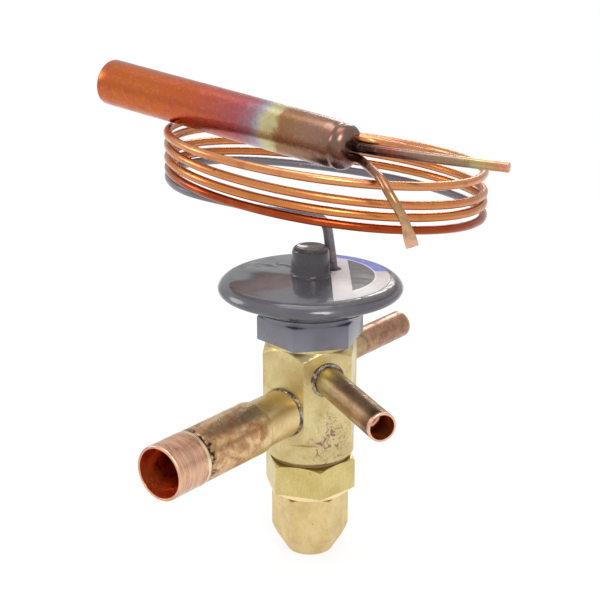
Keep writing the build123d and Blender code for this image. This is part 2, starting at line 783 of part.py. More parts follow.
def rounded_path(points, radius):
    """Add a path of straight runs whose corners are rounded, up to a radius, inside a BuildLine."""
    corners = [Vector(*p) for p in points]
    start = corners[0]
    for before, here, after in zip(corners, corners[1:], corners[2:]):
        into = (here - before).normalized()
        out = (after - here).normalized()
        half = math.radians(into.get_angle(out)) / 2
        back_off = min(radius * math.tan(half), 0.45 * (here - before).length, 0.45 * (after - here).length)
        arc_start = here - into * back_off
        arc_end = here + out * back_off
        arc_r = back_off / math.tan(half)
        inward = (out - into).normalized()
        middle = here + inward * (arc_r / math.cos(half) - arc_r)
        Line(start, arc_start)
        ThreePointArc(arc_start, middle, arc_end)
        start = arc_end
    Line(start, corners[-1])


def bent_tube(points, corner_r, tube_r):
    """Sweep a round tube along a path of rounded corners."""
    with BuildLine() as path:
        rounded_path(points, corner_r)
    first = Vector(*points[1]) - Vector(*points[0])
    with BuildSketch(Plane(origin=points[0], z_dir=first)) as section:
        Circle(tube_r)
    sweep(section.sketch, path=path.line)


# The bulb's own line, and where its three tubes enter the end cap (across, up, tube radius).
bulb_tip = Vector(*BULB_TIP)
bulb_neck = Vector(*BULB_NECK)
bulb_dir = (bulb_neck - bulb_tip).normalized()
bulb_length = (bulb_neck - bulb_tip).length
BULB_END = bulb_length + 0.8
CAPILLARY_ENTRY = (2.9, 2.2)
CHARGE_ENTRY = (0.9, 0.3)
PINCH_ENTRY = (0.3, -2.2)


def bulb_entry(entry, out):
    """Point on a tube's axis, a distance out from the bulb's end face."""
    up = Vector(0, 0, 1) - bulb_dir * bulb_dir.Z
    across = up.cross(bulb_dir)
    point = bulb_tip + bulb_dir * (BULB_END + out) + across.normalized() * entry[0] + up.normalized() * entry[1]
    return (point.X, point.Y, point.Z)


# ---------------------------------------------------------------- capillary
RISER = [
    (CAPILLARY_FOOT[0], CAPILLARY_FOOT[1], PLATEAU_Z - 1.15),
    (CAPILLARY_FOOT[0], CAPILLARY_FOOT[1], PLATEAU_Z + 1.5),
    (CAPILLARY_FOOT[0] + 0.3, CAPILLARY_FOOT[1] + 1.8, PLATEAU_Z + 5.9),
    (CAPILLARY_FOOT[0] - 0.9, CAPILLARY_FOOT[1] + 1.8, PLATEAU_Z + 10.4),
    (CAPILLARY_FOOT[0] - 2.7, CAPILLARY_FOOT[1] + 1.9, PLATEAU_Z + 13.5),
    (-2.0, 2.0, PLATEAU_Z + 17.3),
    (-9.0, 3.0, PLATEAU_Z + 19.3),
    (-17.0, 4.8, PLATEAU_Z + 21.3),
    (-22.3, 8.6, PLATEAU_Z + 22.4),
]
# The last run, by share of the coil's radius, direction from its centre, and height above COIL_Z.
TAIL_RUN = (
    (0.993, 75.0, 14.3),
    (0.97, 55.0, 11.9),
    (0.925, 35.0, 9.6),
    (0.876, 15.0, 8.3),
    (0.83, -5.0, 7.3),
    (0.82, -25.0, 7.4),
    (0.85, -40.0, 8.3),
    (0.915, -53.0, 9.7),
    (0.937, -60.5, 10.8),
    (0.9, -67.0, 12.0),
    (0.766, -75.3, 14.2),
    (0.629, -97.5, 18.0),
)
TAIL = []
for share, direction, height in TAIL_RUN:
    a = math.radians(direction)
    TAIL.append(
        (
            COIL_CENTRE[0] + share * COIL_R * math.cos(a),
            COIL_CENTRE[1] + share * COIL_R * math.sin(a),
            COIL_Z + height,
        )
    )
TAIL += [
    bulb_entry((CAPILLARY_ENTRY[0] + 2.6, CAPILLARY_ENTRY[1] - 0.8), 5.4),
    bulb_entry(CAPILLARY_ENTRY, 2.6),
    bulb_entry(CAPILLARY_ENTRY, -2.4),
]
FIRST_TURN = 0.137
LAST_TURN = 4.34
coil_steps = round((LAST_TURN - FIRST_TURN) * COIL_RUNS)
coil_points = []
for i in range(coil_steps + 1):
    coil_points.append(coil_point(FIRST_TURN + (LAST_TURN - FIRST_TURN) * i / coil_steps))
capillary_points = RISER + coil_points + TAIL
with BuildPart() as capillary_tube:
    bent_tube(capillary_points, COIL_CORNER_R, CAPILLARY_R)
save(capillary_tube.part, "capillary_tube")
capillary_length = sum(math.dist(p, q) for p, q in zip(capillary_points, capillary_points[1:]))
print(f"capillary: outer radius {CAPILLARY_R} mm, path length about {capillary_length:.0f} mm")

with BuildPart() as capillary_braze:
    with BuildSketch(Plane(origin=(CAPILLARY_FOOT[0], CAPILLARY_FOOT[1], 0), x_dir=(1, 0, 0), z_dir=(0, -1, 0))):
        with BuildLine():
            Polyline(
                (CAPILLARY_R, PLATEAU_Z),
                (CAPILLARY_R + 0.5, PLATEAU_Z),
                (CAPILLARY_R + 0.2, PLATEAU_Z + 0.35),
                (CAPILLARY_R, PLATEAU_Z + 1.0),
                close=True,
            )
        make_face()
    revolve(axis=Axis((CAPILLARY_FOOT[0], CAPILLARY_FOOT[1], 0), (0, 0, 1)))
save(capillary_braze.part, "capillary_braze")

# ---------------------------------------------------------------- sensing bulb
bulb_plane = Plane(origin=bulb_tip, x_dir=bulb_dir, z_dir=bulb_dir.cross(Vector(0, 0, 1)))
crease = bulb_length - 3.4
CAP_FLAT_R = 4.4
BULB_ENTRIES = (
    (CAPILLARY_ENTRY, CAPILLARY_R),
    (CHARGE_ENTRY, CHARGE_TUBE_R),
    (PINCH_ENTRY, PINCH_TUBE_R),
)
with BuildPart() as sensing_bulb:
    with BuildSketch(bulb_plane):
        with BuildLine():
            Polyline((0, 0), (0, BULB_R - 0.8))
            ThreePointArc((0, BULB_R - 0.8), (0.25, BULB_R - 0.25), (0.8, BULB_R))
            Polyline((0.8, BULB_R), (crease - 2.6, BULB_R), (crease, BULB_R - 0.5), (crease + 1.0, BULB_R - 0.2))
            ThreePointArc((crease + 1.0, BULB_R - 0.2), (bulb_length, BULB_R - 0.9), (bulb_length + 0.8, CAP_FLAT_R))
            Polyline((bulb_length + 0.8, CAP_FLAT_R), (bulb_length + 0.8, 0), (0, 0))
        make_face()
    revolve(axis=Axis(bulb_tip, bulb_dir))
    for entry, tube_r in BULB_ENTRIES:
        with BuildSketch(Plane(origin=bulb_entry(entry, -2.4), z_dir=bulb_dir)):
            Circle(tube_r + 0.02)
        extrude(amount=4.0, mode=Mode.SUBTRACT)
save(sensing_bulb.part, "sensing_bulb")

# Charging tube, cut straight, and the pinched-off tube beside it.
with BuildPart() as charging_tube:
    bent_tube(
        [bulb_entry(CHARGE_ENTRY, -2.4), bulb_entry(CHARGE_ENTRY, 3.0), bulb_entry((11.0, 3.5), 40.0)],
        5.0,
        CHARGE_TUBE_R,
    )
save(charging_tube.part, "charging_tube")

END_FACE = bulb_entry((0, 0), 0)


def beyond_bulb(x, y, z):
    """Point placed from the middle of the bulb's end face."""
    return (END_FACE[0] + x, END_FACE[1] + y, END_FACE[2] + z)


PINCH_PATH = [
    bulb_entry(PINCH_ENTRY, -2.4),
    bulb_entry(PINCH_ENTRY, 2.0),
    beyond_bulb(-5.1, -9.0, -2.6),
    beyond_bulb(-9.3, -15.0, -3.4),
    beyond_bulb(-11.9, -19.0, -5.4),
    beyond_bulb(-11.9, -21.4, -8.4),
    beyond_bulb(-10.9, -22.6, -11.1),
    beyond_bulb(-10.5, -23.5, -13.3),
]
PINCH_TIP = beyond_bulb(-10.3, -24.8, -16.9)
pinch_dir = (Vector(*PINCH_TIP) - Vector(*PINCH_PATH[-1])).normalized()
with BuildPart() as pinched_tube:
    bent_tube(PINCH_PATH, 5.0, PINCH_TUBE_R)
    with BuildSketch(Plane(origin=PINCH_PATH[-1], x_dir=(0.61, -0.79, 0), z_dir=pinch_dir)) as round_end:
        Circle(PINCH_TUBE_R)
    with BuildSketch(Plane(origin=PINCH_TIP, x_dir=(0.61, -0.79, 0), z_dir=pinch_dir)) as flat_end:
        Ellipse(1.6, 0.42)
    loft(sections=[round_end.sketch, flat_end.sketch])
    extrude(flat_end.sketch, amount=2.0)
save(pinched_tube.part, "pinched_tube")
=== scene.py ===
"""Dresses a brazed expansion valve: brass body, painted element, copper tubes, coiled capillary and bulb.

Lengths in the finishes are millimetres, turned into metres by the Mapping node of each material.
"""

import json
import logging
import math
from collections.abc import Callable
from dataclasses import dataclass, field
from enum import Enum

import bmesh
import bpy
from mathutils import Matrix, Vector


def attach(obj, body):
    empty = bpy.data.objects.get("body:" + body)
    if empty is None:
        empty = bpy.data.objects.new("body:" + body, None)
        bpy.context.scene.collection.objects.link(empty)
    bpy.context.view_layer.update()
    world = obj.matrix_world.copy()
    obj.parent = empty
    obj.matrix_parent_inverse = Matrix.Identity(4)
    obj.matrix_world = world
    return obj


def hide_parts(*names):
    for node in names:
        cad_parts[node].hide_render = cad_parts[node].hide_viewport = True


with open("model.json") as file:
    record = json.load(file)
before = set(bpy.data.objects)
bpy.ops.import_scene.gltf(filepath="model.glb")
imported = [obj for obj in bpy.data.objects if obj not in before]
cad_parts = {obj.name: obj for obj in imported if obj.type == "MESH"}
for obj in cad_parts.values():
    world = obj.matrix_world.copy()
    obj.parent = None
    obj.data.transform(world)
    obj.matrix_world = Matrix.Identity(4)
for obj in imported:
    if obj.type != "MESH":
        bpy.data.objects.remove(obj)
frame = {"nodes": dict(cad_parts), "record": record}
LOG = logging.getLogger("expansion_valve")
Pair = tuple[float, float]
Triple = tuple[float, float, float]
Stop = tuple[float, Triple]
Socket = bpy.types.NodeSocket

MM = 0.001
FULL_TURN = 2.0 * math.pi
# Points closer than these, in metres, become one.
WELD = 0.00001
FACET_WELD = 0.000002
FLAT_DEGREES = 0.6

# Height of the coil's middle line above its base, by turns, in millimetres.
COIL_HEIGHTS = (
    (0.0, 0.5), (0.5, 0.0), (0.75, 2.0), (1.0, 2.0), (1.25, 2.7), (1.5, 3.0), (1.75, 5.8), (2.0, 5.0),
    (2.25, 5.6), (2.5, 6.2), (2.75, 8.5), (3.0, 8.3), (3.25, 9.0), (3.5, 10.8), (3.75, 14.0), (4.0, 12.9),
    (4.25, 12.1), (4.5, 13.8),
)
# Control points of the thin tube before and after the coil, in millimetres.
RISER = (
    (6.5, -2.3, 78.6), (6.5, -2.3, 81.0), (6.9, -1.4, 85.0), (6.7, -0.9, 89.0), (6.1, -0.8, 92.6),
    (3.4, 0.2, 95.0), (-2.5, 2.0, 96.5), (-9.5, 3.2, 98.6), (-16.0, 5.2, 100.4), (-20.6, 9.4, 102.3),
)
TAIL = (
    (29.50, 49.85, 110.3), (42.31, 42.81, 107.9), (50.93, 31.51, 105.6), (54.72, 18.50, 104.3),
    (53.89, 5.70, 103.3), (50.31, -6.03, 103.4), (46.37, -14.58, 104.3), (42.07, -22.48, 105.7),
    (38.25, -26.10, 106.8), (33.55, -26.66, 108.0), (26.82, -22.91, 110.2), (14.99, -17.89, 114.0),
    (5.79, -18.55, 116.44), (3.06, -15.98, 117.53), (2.83, -11.01, 118.06),
)


class Across(Enum):
    """Axis of the object that a pattern is measured along."""

    X = 0
    Z = 2


class Blend(Enum):
    """Ways that one colour goes over another."""

    COVER = "MIX"
    DARKEN = "MULTIPLY"
    LIGHTEN = "SCREEN"


# ------------------------------------------------------------------ material graphs
class Wiring:
    """Node tree with short calls for the nodes used here."""

    def __init__(self, tree: bpy.types.NodeTree) -> None:
        """Starts with an empty tree."""
        self.tree = tree
        tree.nodes.clear()

    def node(
        self, kind: str, inputs: dict[str | int, object] | None = None, **settings: str
    ) -> bpy.types.Node:
        """Adds one node.

        Args:
            kind: Type of the node, without the words that all types start with.
            inputs: Socket or value for each input, by its name or number.
            settings: Properties of the node.

        Returns:
            The node.
        """
        made = self.tree.nodes.new("ShaderNode" + kind)
        for name, value in settings.items():
            setattr(made, name, value)
        for name, value in (inputs or {}).items():
            self.feed(value, made.inputs[name])
        return made

    def wire(self, source: Socket, target: Socket) -> None:
        """Joins two sockets."""
        self.tree.links.new(source, target)

    def feed(self, value: object, target: Socket) -> None:
        """Wires a socket, or writes a plain value."""
        if isinstance(value, Socket):
            self.wire(value, target)
        elif isinstance(value, tuple) and len(value) == 3 and target.type == "RGBA":
            target.default_value = (*value, 1.0)
        else:
            target.default_value = value

    def place(self, centre: Triple = (0.0, 0.0, 0.0), stretch: Triple = (1.0, 1.0, 1.0)) -> Socket:
        """Gives the point on the object in millimetres.

        Args:
            centre: Point that becomes zero, in millimetres.
            stretch: Factor along each axis, for long or flat patterns.

        Returns:
            The vector socket.
        """
        inputs = {
            "Vector": self.node("TexCoord").outputs["Object"],
            "Scale": tuple(share / MM for share in stretch),
            "Location": tuple(-middle * share for middle, share in zip(centre, stretch)),
        }
        return self.node("Mapping", inputs).outputs["Vector"]

    def noise(
        self, point: Socket, size: float, detail: float = 3.0, rough: float = 0.5, warp: float = 0.0
    ) -> Socket:
        """Cloudy noise.

        Args:
            point: Vector socket in millimetres.
            size: Size of a patch, in millimetres.
            detail: Octaves.
            rough: Weight of the finer octaves.
            warp: Distortion.

        Returns:
            A value socket from 0 to 1.
        """
        inputs = {"Vector": point, "Scale": 1.0 / size, "Detail": detail}
        inputs |= {"Roughness": rough, "Distortion": warp}
        return self.node("TexNoise", inputs).outputs["Fac"]

    def cells(self, point: Socket, size: float) -> Socket:
        """Distance to the nearest of a field of scattered points."""
        return self.node("TexVoronoi", {"Vector": point, "Scale": 1.0 / size}).outputs["Distance"]

    def axis(self, point: Socket, across: Across) -> Socket:
        """One coordinate of a point."""
        return self.node("SeparateXYZ", {"Vector": point}).outputs[across.value]

    def stored(self, name: str) -> Socket:
        """Value kept on the points of the mesh."""
        return self.node("Attribute", attribute_name=name).outputs["Fac"]

    def travel(self, point: Socket, direction: Triple) -> Socket:
        """Distance of a point along a direction."""
        return self.node("VectorMath", {0: point, 1: direction}, operation="DOT_PRODUCT").outputs["Value"]

    def length(self, point: Socket) -> Socket:
        """Distance of a point from zero."""
        return self.node("VectorMath", {0: point}, operation="LENGTH").outputs["Value"]

    def sums(self, work: str, first: object, second: object) -> Socket:
        """One Math node.

        Args:
            work: Operation, such as ADD or MULTIPLY.
            first: Socket or number.
            second: Socket or number.

        Returns:
            The value socket.
        """
        return self.node("Math", {0: first, 1: second}, operation=work).outputs["Value"]

    def apart(self, first: object, second: object) -> Socket:
        """Size of the difference of two values."""
        return self.sums("ABSOLUTE", self.sums("SUBTRACT", first, second), 0.0)

    def step(
        self, value: Socket, start: float, end: float, low: float = 0.0, high: float = 1.0
    ) -> Socket:
        """Clamped slope from low at start to high at end."""
        inputs = {"Value": value, "From Min": start, "From Max": end, "To Min": low, "To Max": high}
        return self.node("MapRange", inputs, interpolation_type="SMOOTHSTEP").outputs["Result"]

    def ramp(self, value: Socket, stops: list[Stop]) -> Socket:
        """Colour ramp through the stops, each a place from 0 to 1 and a colour."""
        made = self.node("ValToRGB", {"Fac": value})
        points = made.color_ramp.elements
        while len(points) < len(stops):
            points.new(0.5)
        for point, (place, colour) in zip(points, stops):
            point.position = place
            point.color = (*colour, 1.0)
        return made.outputs["Color"]

    def over(self, amount: object, under: object, cover: object, way: Blend = Blend.COVER) -> Socket:
        """Lays one colour over another.

        Args:
            amount: Socket or number from 0 to 1.
            under: Colour below.
            cover: Colour laid over it.
            way: How they join.

        Returns:
            The colour socket.
        """
        made = self.node("Mix", {0: amount, 6: under, 7: cover}, data_type="RGBA", blend_type=way.value)
        return made.outputs[2]


class Graph(Wiring):
    """Material of one finish, with one principled shader."""

    def __init__(self, name: str, metallic: float, roughness: float, coat: float = 0.0) -> None:
        """Starts the material.

        Args:
            name: Name of the material.
            metallic: Metallic value of the whole surface.
            roughness: Roughness used until a pattern is wired in.
            coat: Weight of the clear coat.
        """
        self.material = bpy.data.materials.new(name)
        self.material.use_nodes = True
        super().__init__(self.material.node_tree)
        inputs = {"Metallic": metallic, "Roughness": roughness, "Coat Weight": coat, "Coat Roughness": 0.08}
        self.shader = self.node("BsdfPrincipled", inputs)
        self.node("OutputMaterial", {"Surface": self.shader.outputs["BSDF"]})

    def relief(self, height: Socket, depth: float, strength: float = 1.0) -> None:
        """Adds bumps to the surface; depth is in millimetres."""
        made = self.node("Bump", {"Height": height, "Strength": strength, "Distance": depth * MM})
        before = self.shader.inputs["Normal"]
        if before.is_linked:
            self.wire(before.links[0].from_socket, made.inputs["Normal"])
        self.wire(made.outputs["Normal"], before)

    def colour(self, value: object) -> None:
        """Sets the base colour."""
        self.feed(value, self.shader.inputs["Base Color"])

    def rough(self, value: object) -> None:
        """Sets the roughness."""
        self.feed(value, self.shader.inputs["Roughness"])


# ------------------------------------------------------------------ finishes
@dataclass(frozen=True)
class Finish:
    """Surface of one material; each kind draws its own pattern."""

    name: str
    metallic: float = 1.0
    roughness: float = 0.3
    coat: float = 0.0

    def draw(self, graph: Graph) -> None:
        """Draws the pattern of this finish."""
        raise NotImplementedError

    def build(self) -> bpy.types.Material:
        """Makes the material."""
        graph = Graph(self.name, self.metallic, self.roughness, self.coat)
        self.draw(graph)
        return graph.material


@dataclass(frozen=True)
class DrawnBrass(Finish):
    """Bar brass with fine lines along the bar, soft clouds, small pits and a purple-brown stain."""

    clean: Triple = (0.66, 0.52, 0.27)
    aged: Triple = (0.55, 0.4, 0.17)
    stain: Triple = (0.2, 0.09, 0.09)
    stained: float = 0.0
    stain_at: Triple = (0.0, 0.0, 0.0)
    stain_size: float = 6.0
    faced_below: float = -100.0
    grit: float = 0.05

    def draw(self, graph: Graph) -> None:
        """Draws lines, clouds, pits and the stain."""
        here = graph.place()
        drawn = graph.noise(graph.place(stretch=(1.0, 1.0, 0.12)), 0.35, 3.0, 0.6)
        clouds = graph.noise(here, 9.0, 4.0, 0.55, 0.6)
        grain = graph.noise(here, 0.6, 4.0, 0.7)
        body = graph.over(graph.step(clouds, 0.38, 0.68), self.clean, self.aged)
        body = graph.over(graph.step(drawn, 0.35, 0.7, 0.0, 0.14), body, self.aged, Blend.DARKEN)
        body = graph.over(graph.step(grain, 0.3, 0.75, 0.0, 0.12), body, (1.0, 0.92, 0.72), Blend.LIGHTEN)
        pits = graph.step(graph.cells(here, 3.1), 0.05, 0.09, 0.7, 0.0)
        pits = graph.sums("MULTIPLY", pits, graph.step(graph.noise(here, 7.0), 0.48, 0.6))
        body = graph.over(pits, body, self.stain)
        if self.stained > 0:
            away = graph.length(graph.place(self.stain_at, (1.0, 1.0, 0.75)))
            rag = graph.sums("ADD", away, graph.step(graph.noise(here, 2.4, 4.0, 0.65), 0.2, 0.8, -4.0, 4.0))
            patch = graph.step(rag, self.stain_size * 0.3, self.stain_size, self.stained, 0.0)
            strand = graph.apart(graph.noise(here, 3.2, 3.0, 0.5, 1.2), 0.5)
            patch = graph.sums("MULTIPLY", patch, graph.step(strand, 0.012, 0.05, 1.0, 0.12))
            body = graph.over(patch, body, self.stain)
        if self.faced_below > 0:
            height = graph.axis(here, Across.Z)
            faced = graph.step(height, self.faced_below - 0.15, self.faced_below, 1.0, 0.0)
            above = graph.step(height, self.faced_below - 1.7, self.faced_below - 1.6)
            faced = graph.sums("MULTIPLY", faced, above)
            body = graph.over(faced, body, (0.86, 0.68, 0.38))
        graph.colour(body)
        dulled = graph.step(clouds, 0.3, 0.7, self.roughness - 0.05, self.roughness + 0.06)
        graph.rough(graph.sums("ADD", dulled, graph.step(drawn, 0.3, 0.7, 0.0, 0.05)))
        graph.relief(drawn, self.grit * 0.6, 0.3)
        graph.relief(grain, self.grit, 0.35)


@dataclass(frozen=True)
class ForgedBrass(Finish):
    """Pressed brass with a sandy skin, pale on its edges and brown in its hollows."""

    skin: Triple = (0.7, 0.54, 0.26)
    dull: Triple = (0.58, 0.42, 0.18)

    def draw(self, graph: Graph) -> None:
        """Draws the sandy skin."""
        here = graph.place()
        sand = graph.noise(here, 0.42, 4.0, 0.75)
        clouds = graph.noise(here, 6.0, 4.0, 0.6, 0.4)
        body = graph.over(graph.step(clouds, 0.35, 0.7), self.skin, self.dull)
        body = graph.over(graph.step(sand, 0.45, 0.8, 0.0, 0.35), body, (1.0, 0.85, 0.55), Blend.LIGHTEN)
        specks = graph.step(graph.cells(here, 2.3), 0.06, 0.11, 0.55, 0.0)
        body = graph.over(specks, body, (0.2, 0.11, 0.05))
        graph.colour(body)
        graph.rough(graph.step(sand, 0.3, 0.8, self.roughness - 0.06, self.roughness + 0.1))
        graph.relief(sand, 0.12, 0.7)
        graph.relief(clouds, 0.25, 0.2)


@dataclass(frozen=True)
class AgedCopper(Finish):
    """Tube copper: clouds of fresh and brown metal, dark spots, and a pink worked mouth."""

    fresh: Triple = (0.47, 0.26, 0.11)
    brown: Triple = (0.3, 0.15, 0.06)
    spot: Triple = (0.06, 0.02, 0.015)
    mouth: Triple = (0.72, 0.44, 0.31)
    along: Triple = (1.0, 0.0, 0.0)
    mouth_start: float = 1000.0
    mouth_end: float = 1001.0
    soot_start: float = 1000.0
    soot_end: float = 1001.0
    bore_r: float = 0.0
    bore_at: Triple = (0.0, 0.0, 0.0)
    # Painted bounced light inside the bore: a glowing orange-red lip and a redder glow further in.
    bore_lip_glow: Triple = (1.0, 0.36, 0.14)
    bore_deep_glow: Triple = (0.98, 0.2, 0.04)
    near: Triple = (0.56, 0.44, 0.22)
    near_end: float = 0.0
    notch: float = 0.0
    stop_at: float = 0.0
    patch: float = 5.0
    spots: float = 0.6
    orange: float = 0.3

    def draw(self, graph: Graph) -> None:
        """Draws clouds, spots, the worked mouth, and painted light in the bore: bounced light painted as
        glowing orange-red copper, and a painted highlight on the socket stop.
        """
        here = graph.place()
        clouds = graph.noise(here, self.patch, 5.0, 0.62, 0.8)
        fine = graph.noise(here, 0.8, 4.0, 0.7, 0.3)
        blush = graph.noise(graph.place((7.0, 3.0, 1.0)), self.patch * 0.7, 4.0, 0.6, 1.0)
        body = graph.over(graph.step(clouds, 0.36, 0.66), self.fresh, self.brown)
        body = graph.over(graph.step(blush, 0.52, 0.72, 0.0, self.orange), body, (0.6, 0.2, 0.05))
        body = graph.over(graph.step(blush, 0.3, 0.42, 0.28, 0.0), body, (0.24, 0.1, 0.12))
        specks = graph.step(graph.cells(here, 1.7), 0.06, 0.16, self.spots, 0.0)
        specks = graph.sums("MULTIPLY", specks, graph.step(clouds, 0.42, 0.56))
        body = graph.over(specks, body, self.spot)
        body = graph.over(graph.step(fine, 0.45, 0.8, 0.0, 0.16), body, (1.0, 0.8, 0.6), Blend.LIGHTEN)
        reach = graph.travel(here, self.along)
        ragged = graph.sums("ADD", reach, graph.step(fine, 0.2, 0.8, -0.8, 0.8))
        if self.near_end > 0:
            faded = graph.sums("ADD", reach, graph.step(clouds, 0.3, 0.7, -3.0, 3.0))
            yellowed = graph.step(faded, self.near_end - 10.0, self.near_end, 0.92, 0.0)
            body = graph.over(yellowed, body, self.near)
        soot = graph.step(ragged, self.soot_start, self.soot_end, 0.0, 0.75)
        body = graph.over(soot, body, self.spot)
        worked = graph.step(reach, self.mouth_start, self.mouth_end)
        ringed = graph.place(stretch=tuple(3.0 if abs(a) > 0.9 else 0.12 for a in self.along))
        lines = graph.noise(ringed, 1.1, 3.0, 0.6)
        groove = tuple(0.62 * c for c in self.mouth)
        turned = graph.over(graph.step(lines, 0.42, 0.6, 0.0, 0.75), self.mouth, groove)
        turned = graph.over(graph.step(clouds, 0.5, 0.7, 0.0, 0.55), turned, self.fresh)
        body = graph.over(worked, body, turned)
        if self.notch > 0:
            near_notch = graph.apart(ragged, self.notch)
            close = graph.step(near_notch, 0.5, 1.9, 1.0, 0.0)
            scorch = graph.sums("MULTIPLY", close, graph.step(blush, 0.42, 0.56))
            body = graph.over(scorch, body, self.spot)
            ring = graph.apart(reach, self.notch + 1.4)
            body = graph.over(graph.step(ring, 0.35, 0.6, 0.8, 0.0), body, (0.86, 0.7, 0.52))
        # The bore is painted with bounced light: glowing orange-red copper inside it, redder further in.
        if self.bore_r > 0:
            round_axis = graph.place(self.bore_at)
            deep = graph.travel(round_axis, self.along)
            out = graph.length(round_axis)
            off = graph.sums("SUBTRACT", graph.sums("POWER", out, 2.0), graph.sums("POWER", deep, 2.0))
            off = graph.sums("SQRT", graph.sums("MAXIMUM", off, 0.0), 0.0)
            inside = graph.step(off, self.bore_r - 0.05, self.bore_r + 0.12, 1.0, 0.0)
            depth = graph.step(reach, self.mouth_end - 1.0, self.mouth_end + 3.0, 1.0, 0.7)
            body = graph.over(inside, body, self.bore_lip_glow)
            deep_glow = graph.sums("MULTIPLY", inside, depth)
            body = graph.over(deep_glow, body, self.bore_deep_glow)
            # Painted highlight: a pale ring on the socket stop inside the bore.
            stop_highlight = graph.apart(reach, self.stop_at)
            stop_highlight = graph.sums("MULTIPLY", inside, graph.step(stop_highlight, 0.25, 0.45, 1.0, 0.0))
            body = graph.over(stop_highlight, body, (1.0, 0.72, 0.5))
        graph.colour(body)
        graph.rough(graph.step(clouds, 0.3, 0.7, self.roughness - 0.06, self.roughness + 0.12))
        graph.relief(fine, 0.06, 0.35)
        graph.relief(lines, 0.03, 0.2)


@dataclass(frozen=True)
class GreyEnamel(Finish):
    """Glossy dark grey paint with faint orange peel, dust and pale specks."""

    paint: Triple = (0.06, 0.057, 0.07)
    dust: Triple = (0.1, 0.096, 0.11)

    def draw(self, graph: Graph) -> None:
        """Draws the paint film."""
        here = graph.place()
        clouds = graph.noise(here, 11.0, 4.0, 0.55)
        peel = graph.noise(here, 1.3, 2.0, 0.5)
        fine = graph.noise(here, 0.35, 3.0, 0.7)
        body = graph.over(graph.step(clouds, 0.35, 0.7, 0.0, 0.5), self.paint, self.dust)
        specks = graph.step(graph.cells(here, 2.9), 0.03, 0.05, 0.45, 0.0)
        body = graph.over(specks, body, (0.3, 0.29, 0.3))
        graph.colour(body)
        mixed = graph.sums("ADD", clouds, fine)
        graph.rough(graph.step(mixed, 0.7, 1.35, self.roughness - 0.04, self.roughness + 0.08))
        graph.relief(peel, 0.02, 0.35)
        graph.shader.inputs["Specular IOR Level"].default_value = 0.5


@dataclass(frozen=True)
class HeatTint(Finish):
    """Copper coloured by heat along a line, with flat reflections and small dents."""

    start: Triple = (0.0, 0.0, 0.0)
    along: Triple = (0.0, 1.0, 0.0)
    reach: float = 80.0
    wander: float = 6.0
    stops: tuple[Stop, ...] = ()
    mottle: Triple = (0.2, 0.1, 0.07)

    def draw(self, graph: Graph) -> None:
        """Draws the tint bands."""
        here = graph.place(self.start)
        clouds = graph.noise(here, 7.0, 5.0, 0.6, 0.8)
        fine = graph.noise(here, 0.9, 4.0, 0.7)
        streak = graph.noise(here, 2.6, 4.0, 0.6, 0.6)
        drift = graph.step(clouds, 0.25, 0.75, -self.wander, self.wander)
        way = graph.sums("ADD", graph.travel(here, self.along), drift)
        way = graph.sums("ADD", way, graph.step(streak, 0.25, 0.75, -self.wander * 0.4, self.wander * 0.4))
        body = graph.ramp(graph.sums("DIVIDE", way, self.reach), list(self.stops))
        body = graph.over(graph.step(streak, 0.5, 0.72, 0.0, 0.5), body, self.mottle)
        body = graph.over(graph.step(fine, 0.5, 0.8, 0.0, 0.12), body, (1.0, 0.75, 0.6), Blend.LIGHTEN)
        graph.colour(body)
        graph.rough(graph.step(streak, 0.25, 0.75, self.roughness - 0.05, self.roughness + 0.1))
        graph.relief(fine, 0.03, 0.25)
        graph.relief(clouds, 0.15, 0.12)


@dataclass(frozen=True)
class CoiledCopper(Finish):
    """Thin drawn tube: fresh copper; the low turns are redder and carry painted shade, and the high turns are
    painted paler as painted light.
    """

    fresh: Triple = (0.54, 0.2, 0.06)
    # Redder colour of the low turns, darkened as painted shade; pale is painted light on the high turns.
    low: Triple = (0.3, 0.05, 0.012)
    pale: Triple = (0.62, 0.3, 0.15)
    paint: Triple = (0.13, 0.12, 0.14)

    def draw(self, graph: Graph) -> None:
        """Draws painted shade and light by height, random clouds of painted shade, and spots."""
        here = graph.place()
        clouds = graph.noise(here, 6.0, 4.0, 0.6, 0.6)
        spots = graph.noise(graph.place((3.0, 8.0, 2.0)), 2.0, 4.0, 0.65, 0.8)
        fine = graph.noise(here, 0.5, 4.0, 0.7)
        turn = graph.sums("ADD", graph.stored("turn"), graph.step(clouds, 0.3, 0.7, -0.1, 0.1))
        # Painted shade on the low turns, which are also redder; painted light on the high turns.
        body = graph.over(graph.step(turn, 1.0, 1.6), self.low, self.fresh)
        body = graph.over(graph.step(turn, 2.0, 4.4, 0.0, 0.45), body, self.pale)
        # Brown clouds of painted shade, laid at random.
        body = graph.over(graph.step(clouds, 0.5, 0.75, 0.0, 0.5), body, (0.3, 0.09, 0.03))
        body = graph.over(graph.step(spots, 0.62, 0.72, 0.0, 0.6), body, (0.14, 0.05, 0.03))
        graph.colour(body)
        graph.rough(graph.step(clouds, 0.3, 0.7, self.roughness - 0.05, self.roughness + 0.1))
        graph.relief(fine, 0.03, 0.3)


@dataclass(frozen=True)
class PaintedFoot(CoiledCopper):
    """Grey painted length of the thin tube."""

    def draw(self, graph: Graph) -> None:
        """Draws the paint film with copper showing where it is rubbed."""
        here = graph.place()
        clouds = graph.noise(here, 4.0, 4.0, 0.6)
        fine = graph.noise(here, 0.5, 4.0, 0.7)
        rubbed = graph.step(graph.sums("ADD", clouds, graph.step(fine, 0.3, 0.7, -0.05, 0.05)), 0.66, 0.72)
        graph.colour(graph.over(rubbed, self.paint, (0.4, 0.2, 0.1)))
        graph.rough(graph.step(clouds, 0.3, 0.7, self.roughness - 0.05, self.roughness + 0.1))
        graph.relief(fine, 0.02, 0.3)


